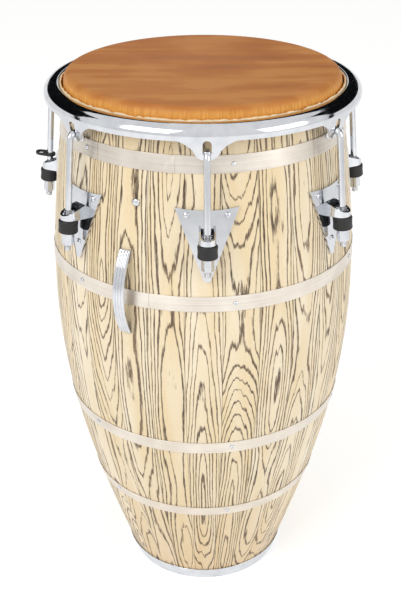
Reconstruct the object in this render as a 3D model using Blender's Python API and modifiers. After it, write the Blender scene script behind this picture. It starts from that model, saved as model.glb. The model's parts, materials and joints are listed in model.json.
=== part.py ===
"""Tumba: a tall stave drum with a hide head, tuned by seven hooks.  Metres, +Z up.

The drum stands on its base rim, with its axis on Z and its floor at Z = 0.  Lug 1 faces -Y,
and the lugs are numbered round towards +X.  An azimuth is counted the same way, from -Y.
Each lug has a frame of its own, whose local Z runs up along the leaning tuning rod.
"""

import math

import bmesh
import bpy
from mathutils import Matrix, Vector

# Whole drum
DRUM_HEIGHT = 0.7112
LUG_COUNT = 7
SIDES_PER_LUG = 8
FIT_GAP = 0.0003
MERGE_DISTANCE = 0.00001

# Shell: two quarter sine waves, one from the foot to the belly and one from there to the top
FOOT_RADIUS = 0.1050
BELLY_RADIUS = 0.1940
BELLY_HEIGHT = 0.4300
TOP_RADIUS = 0.1646
SHELL_WALL = 0.0095
SHELL_STATIONS = 13
BEARING_EDGE_RADIUS = 0.0070

# Base rim: a turned-in metal shoe round the foot
BASE_RIM_HEIGHT = 0.0185
BASE_RIM_THICKNESS = 0.0015
BASE_FLANGE_WIDTH = 0.0105

# Four flat hoops round the staves: height of the top edge, and width of the strip
BAND_TOPS = (0.6600, 0.4966, 0.2866, 0.1642)
BAND_WIDTHS = (0.0200, 0.0190, 0.0172, 0.0155)
BAND_THICKNESS = 0.0009

# Head: a hide disc, wrapped round a steel flesh hoop
SKIN_THICKNESS = 0.0020
CROWN_ROUND = 0.0095
HOOP_WIRE_RADIUS = 0.0040
HOOP_CENTRE_HEIGHT = 0.6866
HEM_HEIGHT = 0.0060
HOOP_WIRE_SIDES = 6
HOOP_WRAP_ANGLES = (-178.0, -120.0, -60.0, 0.0, 60.0)
HIDE_WRAP_ANGLES = (50.0, 0.0, -50.0, -100.0, -140.0)

# Rim: a rolled steel ring with seven slotted ears
RIM_SHEET = 0.0030
RIM_INNER_RADIUS = 0.1736
RIM_TOP_BELOW_CROWN = 0.0123
RIM_ROLL_WIDTH = 0.0195
RIM_ROLL_DROP = 0.0120
SKIRT_BOTTOM = 0.6820
EAR_BOTTOM = 0.6600
EAR_FOOT_RADIUS = 0.1886
EAR_TOP_HALF_WIDTH = 0.0310
EAR_NECK_HALF_WIDTH = 0.0135
EAR_NECK_HEIGHT = 0.0060
EAR_FOOT_HALF_WIDTH = 0.0070
SLOT_WIDTH = 0.0099
SLOT_LENGTH = 0.0190
SLOT_SEAT = 0.50
WINDOW_BAYS = 6
WINDOW_HEIGHT_SHARES = (0.35, 0.65, 0.85, 1.0)

# Tuning hooks: bent rod, leaning out towards its foot
ROD_RADIUS = 0.00397
ROD_LEAN = math.radians(5.6)
HOOK_BEND_RADIUS = 0.0080
HOOK_TOP = 0.6738
HOOK_ROD_RADIUS = 0.1952
HOOK_TIP_LENGTH = 0.0030
ROD_FOOT_HEIGHT = 0.5290

# Lug plates: curved triangles with a raised sleeve
PLATE_TOP = 0.6025
PLATE_TIP = 0.5160
PLATE_HALF_WIDTH = 0.0359
PLATE_TIP_HALF_WIDTH = 0.0030
PLATE_TOP_SAG = 0.0030
PLATE_THICKNESS = 0.0030
PLATE_CELLS = 6
SLEEVE_OUTER_RADIUS = 0.0096
SLEEVE_WALL = 0.00225
SLEEVE_FLOOR = 0.0020
SLEEVE_BASE = 0.5680
SLEEVE_MOUTH_INNER = 0.5850
SLEEVE_MOUTH_OUTER = 0.5735
SPIGOT_RADIUS = 0.0090
SPIGOT_LENGTH = 0.0105
SPIGOT_CLEARANCE = 0.0010

# Washer, cushion and tuning nut under each sleeve
WASHER_RADIUS = 0.0088
WASHER_THICKNESS = 0.0015
CUSHION_RADIUS = 0.0116
CUSHION_LENGTH = 0.0160
CUSHION_LIP = 0.0022
CUSHION_EDGE = 0.0018
NUT_ACROSS_FLATS = 0.0127
NUT_LENGTH = 0.0185
NUT_SWING_CLEARANCE = 0.0006
ROUND_SIDES = 14
HALF_TURN_SIDES = 8
BORE_SIDES = 12

# Backing plates inside the shell, behind the lug plates
BACKING_TOP_INSET = 0.0040
BACKING_TIP_INSET = 0.0110
BACKING_HALF_WIDTH = 0.0290
BACKING_TIP_HALF_WIDTH = 0.0080
BACKING_THICKNESS = 0.0025
BACKING_CELLS = 4

# Handle: a ribbed strap bowed out from the shell on two feet
HANDLE_AZIMUTH = -29.3
HANDLE_TOP = 0.5460
HANDLE_BOTTOM = 0.4410
HANDLE_WIDTH = 0.0150
HANDLE_THICKNESS = 0.0040
HANDLE_STANDOFF = 0.0200
HANDLE_RIB_HEIGHT = 0.0009
HANDLE_RIBS = 3
HANDLE_STATIONS = 17
FOOT_PAD_LENGTH = 0.0150
PAD_SHARE = 0.8
HANDLE_BOW = 0.8
BOLT_RADIUS = 0.0030
BOLT_DEPTH = 0.0028
BOLT_HEAD_RADIUS = 0.0062
BOLT_HEAD_HEIGHT = 0.0040

# Domed stud above the handle
STUD_AZIMUTH = -25.8
STUD_HEIGHT = 0.6026
STUD_HEAD_RADIUS = 0.0050
STUD_DOME = 0.0024
STUD_SHANK_RADIUS = 0.0022
STUD_SHANK_LENGTH = 0.0065

# Wrench holder: an eyelet tab gripping one tuning rod
HOLDER_LUG = 6
HOLDER_HEIGHT = 0.5868
HOLDER_INNER_REACH = 0.0070
HOLDER_OUTER_REACH = 0.0190
HOLDER_HALF_WIDTH = 0.0072
HOLDER_THICKNESS = 0.0030
HOLDER_EYE_RADIUS = 0.0048
HOLDER_EYE_OFFSET = 0.0120

# What follows from the sizes above
SEGMENTS = LUG_COUNT * SIDES_PER_LUG
SHELL_BOTTOM = BASE_RIM_THICKNESS + FIT_GAP
SHELL_TOP = DRUM_HEIGHT - SKIN_THICKNESS - FIT_GAP
LUG_STEP = 360.0 / LUG_COUNT

FINISHES = {
    "ash": ((0.70, 0.52, 0.33), 0.55, 0.0),
    "chrome": ((0.80, 0.80, 0.82), 0.12, 1.0),
    "brushed_steel": ((0.62, 0.60, 0.56), 0.35, 1.0),
    "rawhide": ((0.62, 0.34, 0.12), 0.50, 0.0),
    "rubber": ((0.03, 0.028, 0.026), 0.60, 0.0),
    "zinc": ((0.55, 0.56, 0.58), 0.40, 1.0),
}


def shell_radius(height):
    """Outer radius of the wood at a height."""
    if height < BELLY_HEIGHT:
        share = math.sin(0.5 * math.pi * height / BELLY_HEIGHT)
        return FOOT_RADIUS + (BELLY_RADIUS - FOOT_RADIUS) * share
    share = math.cos(0.5 * math.pi * (height - BELLY_HEIGHT) / (SHELL_TOP - BELLY_HEIGHT))
    return TOP_RADIUS + (BELLY_RADIUS - TOP_RADIUS) * share


def shoulder_height():
    """Height at which the shell's wall turns in over the bearing edge."""
    return SHELL_TOP - BEARING_EDGE_RADIUS


def rod_radius_at(height):
    """Distance of a tuning rod's centre line from the drum's axis, at a height."""
    return HOOK_ROD_RADIUS + (hook_bend_height() - height) * math.tan(ROD_LEAN)


def hook_bend_height():
    """Height at which a tuning rod ends and its bend begins."""
    return HOOK_TOP - ROD_RADIUS - HOOK_BEND_RADIUS


def along_rod(height):
    """Distance up the rod's axis from the sleeve's base to a height."""
    return (height - SLEEVE_BASE) / math.cos(ROD_LEAN)


def azimuth_turn(azimuth):
    """Rotation about Z that takes the +X direction to an azimuth."""
    return Matrix.Rotation(math.radians(azimuth - 90.0), 4, "Z")


def rod_frame(azimuth):
    """Frame on a rod's axis at the sleeve's base, with local Z up along the rod."""
    origin = Matrix.Translation((rod_radius_at(SLEEVE_BASE), 0.0, SLEEVE_BASE))
    return azimuth_turn(azimuth) @ origin @ Matrix.Rotation(-ROD_LEAN, 4, "Y")


def lug_azimuth(number):
    """Azimuth of a lug, counted from 1."""
    return (number - 1) * LUG_STEP


# Making objects

def clear_scene():
    """Remove every object and collection that the file starts with."""
    for old in list(bpy.data.objects):
        bpy.data.objects.remove(old, do_unlink=True)
    for old in list(bpy.data.collections):
        bpy.data.collections.remove(old)


def new_collection(name):
    collection = bpy.data.collections.new(name)
    bpy.context.scene.collection.children.link(collection)
    return collection


def finish_material(object_name, finish):
    """A material of its own for one object, in one of the drum's finishes."""
    colour, roughness, metallic = FINISHES[finish]
    material = bpy.data.materials.new(object_name + "_" + finish)
    material.use_nodes = True
    shader = material.node_tree.nodes["Principled BSDF"]
    shader.inputs["Base Color"].default_value = (*colour, 1.0)
    shader.inputs["Roughness"].default_value = roughness
    shader.inputs["Metallic"].default_value = metallic
    material.diffuse_color = (*colour, 1.0)
    return material


def add_part(name, data, finish, matrix=None, parent=None):
    """Put mesh data in the drum's collection as a named sub-part."""
    part = bpy.data.objects.new(name, data)
    DRUM.objects.link(part)
    if parent is not None:
        part.parent = parent
    if matrix is not None:
        part.matrix_basis = matrix
    part.data.materials.clear()
    part.data.materials.append(None)
    part.material_slots[0].link = "OBJECT"
    part.material_slots[0].material = finish_material(name, finish)
    return part


def add_guide(name, data, matrix=None):
    """An object that only cuts or joins, and isn't part of the drum."""
    guide = bpy.data.objects.new(name, data)
    GUIDES.objects.link(guide)
    if matrix is not None:
        guide.matrix_basis = matrix
    guide.hide_render = True
    guide.display_type = "WIRE"
    return guide


def profile_mesh(name, points, closed):
    """Mesh of edges in the XZ plane, for the Screw modifier."""
    mesh = bpy.data.meshes.new(name)
    edges = [(i, i + 1) for i in range(len(points) - 1)]
    if closed:
        edges.append((len(points) - 1, 0))
    mesh.from_pydata([(radius, 0.0, height) for radius, height in points], edges, [])
    return mesh


def add_screw(part, steps):
    screw = part.modifiers.new("Turn", "SCREW")
    screw.axis = "Z"
    screw.angle = math.tau
    screw.steps = steps
    screw.render_steps = steps
    screw.use_merge_vertices = True
    screw.merge_threshold = MERGE_DISTANCE
    screw.use_smooth_shade = True


def turned(name, points, finish, closed=True, steps=SEGMENTS):
    """A ring or a disc turned about Z, from a profile that runs down its outer side."""
    part = add_part(name, profile_mesh(name, points, closed), finish)
    add_screw(part, steps)
    return part


def evaluated_mesh(source, name):
    """The mesh that an object has after its modifiers, with loose caps welded."""
    bpy.context.view_layer.update()
    evaluated = source.evaluated_get(bpy.context.evaluated_depsgraph_get())
    mesh = bpy.data.meshes.new_from_object(evaluated)
    mesh.name = name
    work = bmesh.new()
    work.from_mesh(mesh)
    bmesh.ops.remove_doubles(work, verts=work.verts, dist=MERGE_DISTANCE)
    work.to_mesh(mesh)
    work.free()
    return mesh


def settled(source, name):
    """Evaluate a guide to a plain mesh and remove the guide."""
    mesh = evaluated_mesh(source, name)
    bpy.data.objects.remove(source, do_unlink=True)
    mesh.shade_smooth()
    mesh.set_sharp_from_angle(angle=math.radians(35.0))
    return mesh


def add_boolean(part, other, operation):
    cut = part.modifiers.new(operation.title(), "BOOLEAN")
    cut.operation = operation
    cut.solver = "EXACT"
    cut.object = other


def cylinder_mesh(name, radius, bottom, top, sides=ROUND_SIDES):
    """Closed cylinder on local Z between two heights."""
    mesh = bpy.data.meshes.new(name)
    work = bmesh.new()
    place = Matrix.Translation((0.0, 0.0, 0.5 * (bottom + top)))
    bmesh.ops.create_cone(work, cap_ends=True, segments=sides, radius1=radius, radius2=radius,
                          depth=top - bottom, matrix=place)
    work.to_mesh(mesh)
    work.free()
    return mesh


def block_mesh(name, low, high):
    """Closed box between two corners."""
    mesh = bpy.data.meshes.new(name)
    work = bmesh.new()
    low = Vector(low)
    high = Vector(high)
    size = high - low
    place = Matrix.Translation((low + high) / 2) @ Matrix.Diagonal((*size, 1.0))
    bmesh.ops.create_cube(work, size=1.0, matrix=place)
    work.to_mesh(mesh)
    work.free()
    return mesh


def prism_mesh(name, outline, near, far):
    """Closed prism: an outline in two parameters, placed by one function at each end."""
    mesh = bpy.data.meshes.new(name)
    work = bmesh.new()
    ends = [[work.verts.new(place(*point)) for point in outline] for place in (near, far)]
    work.faces.new(ends[0])
    work.faces.new(ends[1])
    for i in range(len(outline)):
        j = (i + 1) % len(outline)
        work.faces.new((ends[0][i], ends[0][j], ends[1][j], ends[1][i]))
    bmesh.ops.recalc_face_normals(work, faces=work.faces)
    work.to_mesh(mesh)
    work.free()
    return mesh


def joined_mesh(name, sources):
    """One mesh made of several closed ones, each moved by its own matrix."""
    mesh = bpy.data.meshes.new(name)
    work = bmesh.new()
    for source, matrix in sources:
        copy = source.copy()
        copy.transform(matrix)
        work.from_mesh(copy)
        bpy.data.meshes.remove(copy)
    work.to_mesh(mesh)
    work.free()
    return mesh


# Shell and the rings that hold its staves

def bolt_heights():
    """Heights of the two bolts that hold the handle."""
    return (HANDLE_BOTTOM + FOOT_PAD_LENGTH / 2, HANDLE_TOP - FOOT_PAD_LENGTH / 2)


def make_shell():
    """The wooden body, open at the foot, with a rounded bearing edge at the top."""
    shoulder = shoulder_height()
    stations = [SHELL_BOTTOM + (shoulder - SHELL_BOTTOM) * i / SHELL_STATIONS
                for i in range(SHELL_STATIONS + 1)]
    outer = [(shell_radius(height), height) for height in stations]
    inner = [(radius - SHELL_WALL, height) for radius, height in outer]
    centre = shell_radius(shoulder) - BEARING_EDGE_RADIUS
    edge = [(centre + BEARING_EDGE_RADIUS * math.cos(math.radians(angle)),
             shoulder + BEARING_EDGE_RADIUS * math.sin(math.radians(angle)))
            for angle in (90.0, 60.0, 30.0)]
    shell = turned("shell", edge + outer[::-1] + inner, "ash")
    bores = []
    for height in bolt_heights():
        bore = cylinder_mesh("bolt_bore", BOLT_RADIUS + FIT_GAP, -SHELL_WALL * 2, SHELL_WALL * 2, BORE_SIDES)
        bores.append((bore, radial_frame(HANDLE_AZIMUTH, height)))
    depth = STUD_SHANK_LENGTH + FIT_GAP
    bore = cylinder_mesh("stud_bore", STUD_SHANK_RADIUS + FIT_GAP, -depth, SHELL_WALL, BORE_SIDES)
    bores.append((bore, radial_frame(STUD_AZIMUTH, STUD_HEIGHT)))
    add_boolean(shell, add_guide("shell_bores", joined_mesh("shell_bores", bores)), "DIFFERENCE")


def radial_frame(azimuth, height):
    """Frame on the shell's surface, with local Z pointing straight out from the drum's axis."""
    place = Matrix.Translation((shell_radius(height), 0.0, height))
    return azimuth_turn(azimuth) @ place @ Matrix.Rotation(math.radians(90.0), 4, "Y")


def make_bands():
    """Flat steel hoops that follow the curve of the shell."""
    for number, (top, width) in enumerate(zip(BAND_TOPS, BAND_WIDTHS), start=1):
        heights = (top, top - width)
        inner = [(shell_radius(height) + FIT_GAP, height) for height in heights]
        outer = [(radius + BAND_THICKNESS, height) for radius, height in inner]
        turned(f"stave_band_{number}", outer + inner[::-1], "brushed_steel")


def make_base_rim():
    """Metal shoe that wraps the foot and turns in under the wood."""
    inner = [(shell_radius(height) + FIT_GAP, height) for height in (BASE_RIM_HEIGHT, BASE_RIM_THICKNESS)]
    outer = [(inner[0][0] + BASE_RIM_THICKNESS, BASE_RIM_HEIGHT),
             (inner[1][0] + BASE_RIM_THICKNESS, 0.0)]
    flange = shell_radius(0.0) - BASE_FLANGE_WIDTH
    turned("base_rim", outer + [(flange, 0.0), (flange, BASE_RIM_THICKNESS)] + inner[::-1], "chrome")


# Head

def hoop_centre_radius():
    """Radius of the flesh hoop's wire circle, just outside the hide on the shell."""
    return shell_radius(HOOP_CENTRE_HEIGHT) + 2 * FIT_GAP + SKIN_THICKNESS + HOOP_WIRE_RADIUS


def make_head():
    """Hide disc: over the bearing edge, down the shell and round the flesh hoop."""
    crown_radius = shell_radius(shoulder_height()) + FIT_GAP + SKIN_THICKNESS - CROWN_ROUND
    top = DRUM_HEIGHT
    inner_round = CROWN_ROUND - SKIN_THICKNESS
    angles = (90.0, 60.0, 30.0, 0.0)

    def arc(radius, centre_radius, centre_height, degrees):
        return [(centre_radius + radius * math.cos(math.radians(angle)),
                 centre_height + radius * math.sin(math.radians(angle))) for angle in degrees]

    hoop_radius = hoop_centre_radius()
    wrap_outer = HOOP_WIRE_RADIUS + FIT_GAP + SKIN_THICKNESS
    wrap_inner = HOOP_WIRE_RADIUS + FIT_GAP
    crown = arc(CROWN_ROUND, crown_radius, top - CROWN_ROUND, angles)
    under_crown = arc(inner_round, crown_radius, top - CROWN_ROUND, angles[::-1])
    hem_radius = hoop_radius - HOOP_WIRE_RADIUS / 2
    hem_foot = HOOP_CENTRE_HEIGHT + wrap_outer
    outside_wrap = arc(wrap_outer, hoop_radius, HOOP_CENTRE_HEIGHT, HIDE_WRAP_ANGLES)
    inside_wrap = arc(wrap_inner, hoop_radius, HOOP_CENTRE_HEIGHT, HOOP_WRAP_ANGLES)
    collar_foot = shell_radius(HOOP_CENTRE_HEIGHT) + FIT_GAP
    inside_hem = [(hem_radius - SKIN_THICKNESS / 2, hem_foot - SKIN_THICKNESS / 2),
                  (hem_radius - SKIN_THICKNESS, hem_foot + HEM_HEIGHT)]
    outside_hem = [(hem_radius, hem_foot + HEM_HEIGHT), (hem_radius, hem_foot + FIT_GAP)]
    outer = [(0.0, top)] + crown + inside_wrap + inside_hem + outside_hem + outside_wrap
    inner = [(collar_foot, HOOP_CENTRE_HEIGHT)] + under_crown + [(0.0, top - SKIN_THICKNESS)]
    turned("head_skin", outer + inner, "rawhide", closed=False)

    bpy.ops.mesh.primitive_torus_add(major_segments=SEGMENTS, minor_segments=HOOP_WIRE_SIDES,
                                     major_radius=hoop_radius, minor_radius=HOOP_WIRE_RADIUS)
    torus = bpy.context.object
    mesh = torus.data.copy()
    bpy.data.objects.remove(torus, do_unlink=True)
    mesh.shade_smooth()
    add_part("flesh_hoop", mesh, "zinc", Matrix.Translation((0, 0, HOOP_CENTRE_HEIGHT)))


# Rim and its ears

def around(azimuth, radius, height):
    """Point at an azimuth, a radius and a height."""
    angle = math.radians(azimuth - 90.0)
    return (radius * math.cos(angle), radius * math.sin(angle), height)


def ear_half_width(height):
    """Half the width of a rim ear at a height between its foot and the skirt."""
    neck = EAR_BOTTOM + EAR_NECK_HEIGHT
    if height < neck:
        share = (height - EAR_BOTTOM) / EAR_NECK_HEIGHT
        return EAR_FOOT_HALF_WIDTH + (EAR_NECK_HALF_WIDTH - EAR_FOOT_HALF_WIDTH) * share
    share = (height - neck) / (SKIRT_BOTTOM - neck)
    return EAR_NECK_HALF_WIDTH + (EAR_TOP_HALF_WIDTH - EAR_NECK_HALF_WIDTH) * share ** 2


def half_circle(start):
    """Angles of the corners of half a turn, from a start in degrees."""
    return [math.radians(start + 180.0 * i / HALF_TURN_SIDES) for i in range(HALF_TURN_SIDES + 1)]


def slot_foot():
    """Height of the slot's lowest point, where the hook bears."""
    reach = HOOK_BEND_RADIUS - ROD_RADIUS
    return hook_bend_height() + SLOT_SEAT * reach


def make_rim():
    """Rolled steel ring: a lip on the hide, a roll over it and a skirt cut into ears."""
    top = DRUM_HEIGHT - RIM_TOP_BELOW_CROWN
    outer_radius = RIM_INNER_RADIUS + RIM_ROLL_WIDTH
    roll_centre = outer_radius - RIM_ROLL_DROP
    inner_round = RIM_ROLL_DROP - RIM_SHEET
    lip_foot = HOOP_CENTRE_HEIGHT + HOOP_WIRE_RADIUS + 2 * FIT_GAP + SKIN_THICKNESS
    outer = [(RIM_INNER_RADIUS + RIM_SHEET / 2, top)]
    inner = [(EAR_FOOT_RADIUS - RIM_SHEET, EAR_BOTTOM)]
    for angle in (75.0, 50.0, 25.0, 0.0):
        turn = math.radians(angle)
        outer.append((roll_centre + RIM_ROLL_DROP * math.cos(turn),
                      top - RIM_ROLL_DROP + RIM_ROLL_DROP * math.sin(turn)))
        inner.append((roll_centre + inner_round * math.cos(turn),
                      top - RIM_ROLL_DROP + inner_round * math.sin(turn)))
    inner = [inner[0]] + inner[:0:-1]
    outer.append((EAR_FOOT_RADIUS, EAR_BOTTOM))
    lip = [(RIM_INNER_RADIUS + RIM_SHEET, top - RIM_SHEET), (RIM_INNER_RADIUS + RIM_SHEET, lip_foot),
           (RIM_INNER_RADIUS, lip_foot), (RIM_INNER_RADIUS, top - RIM_SHEET / 2)]
    rim = turned("rim", outer + inner + lip, "chrome")

    near = EAR_FOOT_RADIUS - 3 * RIM_SHEET
    far = outer_radius + 3 * RIM_SHEET
    below = EAR_BOTTOM - RIM_SHEET
    heights = [below, EAR_BOTTOM, EAR_BOTTOM + EAR_NECK_HEIGHT]
    heights += [heights[2] + (SKIRT_BOTTOM - heights[2]) * share for share in WINDOW_HEIGHT_SHARES]
    cuts = []
    for number in range(1, LUG_COUNT + 1):
        start = lug_azimuth(number)
        left = []
        right = []
        for height in heights:
            half = math.degrees(ear_half_width(max(height, EAR_BOTTOM)) / EAR_FOOT_RADIUS)
            left.append((start + half, height))
            right.append((start + LUG_STEP - half, height))
        bays = WINDOW_BAYS
        floor_line = [(right[0][0] + (left[0][0] - right[0][0]) * i / bays, below)
                      for i in range(1, bays)]
        roof = [(left[-1][0] + (right[-1][0] - left[-1][0]) * i / bays, SKIRT_BOTTOM)
                for i in range(1, bays)]
        outline = left + roof + right[::-1] + floor_line
        cuts.append(prism_mesh("window", outline, lambda a, h: around(a, near, h),
                               lambda a, h: around(a, far, h)))
        low = slot_foot() + SLOT_WIDTH / 2
        high = slot_foot() + SLOT_LENGTH - SLOT_WIDTH / 2
        round_points = []
        for turn in half_circle(0.0):
            round_points.append((SLOT_WIDTH / 2 * math.cos(turn), high + SLOT_WIDTH / 2 * math.sin(turn)))
        for turn in half_circle(180.0):
            round_points.append((SLOT_WIDTH / 2 * math.cos(turn), low + SLOT_WIDTH / 2 * math.sin(turn)))
        turn_matrix = azimuth_turn(start)
        cuts.append(prism_mesh("slot", round_points, lambda y, h: turn_matrix @ Vector((near, y, h)),
                               lambda y, h: turn_matrix @ Vector((far, y, h))))
    identity = Matrix.Identity(4)
    guide = add_guide("rim_cuts", joined_mesh("rim_cuts", [(cut, identity) for cut in cuts]))
    add_boolean(rim, guide, "DIFFERENCE")


# Lug sets

def curved_plate(name, cells, tip, top, tip_half, top_half, sag, surface, thickness, outward):
    """Guide with a tapering plate, wrapped on a surface of the drum facing +X."""
    mesh = bpy.data.meshes.new(name)
    work = bmesh.new()
    bmesh.ops.create_grid(work, x_segments=cells, y_segments=cells, size=1.0)
    for vertex in work.verts:
        across = vertex.co.x
        up = (vertex.co.y + 1.0) / 2
        height = tip + up * (top - sag * (1.0 - across ** 2) - tip)
        reach = across * (tip_half + up * (top_half - tip_half))
        radius = surface(height)
        angle = reach / radius
        vertex.co = (radius * math.cos(angle), radius * math.sin(angle), height)
    bmesh.ops.recalc_face_normals(work, faces=work.faces)
    centre = next(iter(work.faces))
    if centre.normal.x < 0:
        bmesh.ops.reverse_faces(work, faces=work.faces)
    work.to_mesh(mesh)
    work.free()
    plate = add_guide(name, mesh)
    solidify = plate.modifiers.new("Sheet", "SOLIDIFY")
    solidify.thickness = thickness
    solidify.offset = 1.0 if outward else -1.0
    return plate


def sleeve_mesh():
    """U-shaped sleeve on the rod's axis, open to the plate, with a sloping mouth."""
    root = rod_radius_at(SLEEVE_BASE) - shell_radius(SLEEVE_BASE) - FIT_GAP - PLATE_THICKNESS / 2
    inner_radius = SLEEVE_OUTER_RADIUS - SLEEVE_WALL
    arc = half_circle(-90.0)[::-1]
    outline = [(-root, SLEEVE_OUTER_RADIUS)]
    outline += [(SLEEVE_OUTER_RADIUS * math.cos(a), SLEEVE_OUTER_RADIUS * math.sin(a)) for a in arc]
    outline += [(-root, -SLEEVE_OUTER_RADIUS), (-root, -inner_radius)]
    outline += [(inner_radius * math.cos(a), inner_radius * math.sin(a)) for a in arc[::-1]]
    outline += [(-root, inner_radius)]
    low = along_rod(SLEEVE_MOUTH_OUTER)
    high = along_rod(SLEEVE_MOUTH_INNER)
    reach = root + SLEEVE_OUTER_RADIUS

    def mouth(x, y):
        return (x, y, high + (low - high) * (x + root) / reach)

    return prism_mesh("sleeve", outline, lambda x, y: (x, y, 0.0), mouth)


def lug_plate_mesh():
    """Plate, sleeve and spigot as one casting, in the frame that faces +X."""
    plate = curved_plate("plate", PLATE_CELLS, PLATE_TIP, PLATE_TOP, PLATE_TIP_HALF_WIDTH, PLATE_HALF_WIDTH,
                         PLATE_TOP_SAG, lambda height: shell_radius(height) + FIT_GAP,
                         PLATE_THICKNESS, True)
    local = azimuth_turn(0.0).inverted() @ rod_frame(0.0)
    sleeve = add_guide("sleeve", sleeve_mesh(), local)
    spigot_mesh = cylinder_mesh("spigot", SPIGOT_RADIUS, -SPIGOT_LENGTH, SLEEVE_FLOOR)
    spigot = add_guide("spigot", spigot_mesh, local)
    bore = add_guide("spigot_bore", cylinder_mesh("spigot_bore", ROD_RADIUS + SPIGOT_CLEARANCE,
                                                  -2 * SPIGOT_LENGTH, 2 * SLEEVE_FLOOR), local)
    add_boolean(plate, sleeve, "UNION")
    add_boolean(plate, spigot, "UNION")
    add_boolean(plate, bore, "DIFFERENCE")
    mesh = settled(plate, "lug_plate")
    for guide in (sleeve, spigot, bore):
        bpy.data.objects.remove(guide, do_unlink=True)
    return mesh


def backing_mesh():
    """Curved steel plate that lies inside the shell behind a lug plate."""
    plate = curved_plate("backing", BACKING_CELLS, PLATE_TIP + BACKING_TIP_INSET,
                         PLATE_TOP - BACKING_TOP_INSET, BACKING_TIP_HALF_WIDTH, BACKING_HALF_WIDTH, 0.0,
                         lambda height: shell_radius(height) - SHELL_WALL - 2 * FIT_GAP,
                         BACKING_THICKNESS, False)
    return settled(plate, "lug_backing")


def hook_mesh():
    """Bent rod, in its own rod frame: straight up, over the slot's foot and down behind it."""
    top = along_rod(hook_bend_height())
    curve = bpy.data.curves.new("hook", "CURVE")
    curve.dimensions = "3D"
    curve.bevel_depth = ROD_RADIUS
    curve.bevel_resolution = 2
    curve.use_fill_caps = True
    points = [(0.0, along_rod(ROD_FOOT_HEIGHT)), (0.0, 0.0), (0.0, top)]
    for turn in half_circle(0.0)[1:]:
        points.append((HOOK_BEND_RADIUS * (math.cos(turn) - 1.0), top + HOOK_BEND_RADIUS * math.sin(turn)))
    points.append((-2 * HOOK_BEND_RADIUS, top - HOOK_TIP_LENGTH))
    spline = curve.splines.new("POLY")
    spline.points.add(len(points) - 1)
    for point, (x, z) in zip(spline.points, points):
        point.co = (x, 0.0, z, 1.0)
    return settled(add_guide("hook", curve), "tuning_hook")


def nut_mesh():
    """Long hexagon nut, bored to run on the rod."""
    top = -SPIGOT_LENGTH - WASHER_THICKNESS - 2 * FIT_GAP
    body = add_guide("nut", cylinder_mesh("nut", NUT_ACROSS_FLATS / math.sqrt(3.0), top - NUT_LENGTH, top, 6))
    bore = add_guide("nut_bore", cylinder_mesh("nut_bore", ROD_RADIUS + FIT_GAP, top - 2 * NUT_LENGTH,
                                               top + NUT_LENGTH, BORE_SIDES))
    add_boolean(body, bore, "DIFFERENCE")
    mesh = settled(body, "tuning_nut")
    bpy.data.objects.remove(bore, do_unlink=True)
    return mesh


def screw_mesh(name, points):
    """Closed ring about local Z, as a plain mesh."""
    guide = add_guide(name, profile_mesh(name, points, True))
    add_screw(guide, ROUND_SIDES)
    return settled(guide, name)


def washer_mesh():
    """Flat ring between the spigot's end and the nut."""
    top = -SPIGOT_LENGTH - FIT_GAP
    bottom = top - WASHER_THICKNESS
    hole = ROD_RADIUS + SPIGOT_CLEARANCE
    points = [(WASHER_RADIUS, top), (WASHER_RADIUS, bottom), (hole, bottom), (hole, top)]
    return screw_mesh("tuning_washer", points)


def cushion_mesh():
    """Rubber cup on the spigot, round the washer and the top of the nut."""
    top = -FIT_GAP
    bottom = top - CUSHION_LENGTH
    bore = max(SPIGOT_RADIUS, WASHER_RADIUS) + FIT_GAP
    mouth = NUT_ACROSS_FLATS / math.sqrt(3.0) + NUT_SWING_CLEARANCE
    outer = CUSHION_RADIUS
    points = [(outer - CUSHION_EDGE, top), (outer, top - CUSHION_EDGE), (outer, bottom + CUSHION_EDGE),
              (outer - CUSHION_EDGE, bottom), (mouth, bottom), (mouth, bottom + CUSHION_LIP),
              (bore, bottom + CUSHION_LIP), (bore, top)]
    return screw_mesh("tuning_cushion", points)


def make_lugs():
    """Seven sets of plate, backing, hook, washer, cushion and nut."""
    plate = lug_plate_mesh()
    backing = backing_mesh()
    hook = hook_mesh()
    nut = nut_mesh()
    washer = washer_mesh()
    cushion = cushion_mesh()
    for number in range(1, LUG_COUNT + 1):
        azimuth = lug_azimuth(number)
        turn = azimuth_turn(azimuth)
        add_part(f"lug_plate_{number}", plate.copy(), "chrome", turn)
        add_part(f"lug_backing_{number}", backing.copy(), "zinc", turn)
        axis = bpy.data.objects.new(f"rod_axis_{number}", None)
        DRUM.objects.link(axis)
        axis.matrix_basis = rod_frame(azimuth)
        add_part(f"tuning_hook_{number}", hook.copy(), "chrome", parent=axis)
        add_part(f"tuning_nut_{number}", nut.copy(), "chrome", parent=axis)
        add_part(f"tuning_washer_{number}", washer.copy(), "zinc", parent=axis)
        add_part(f"cushion_{number}", cushion.copy(), "rubber", parent=axis)
        if number == HOLDER_LUG:
            make_wrench_holder(axis)


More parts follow.
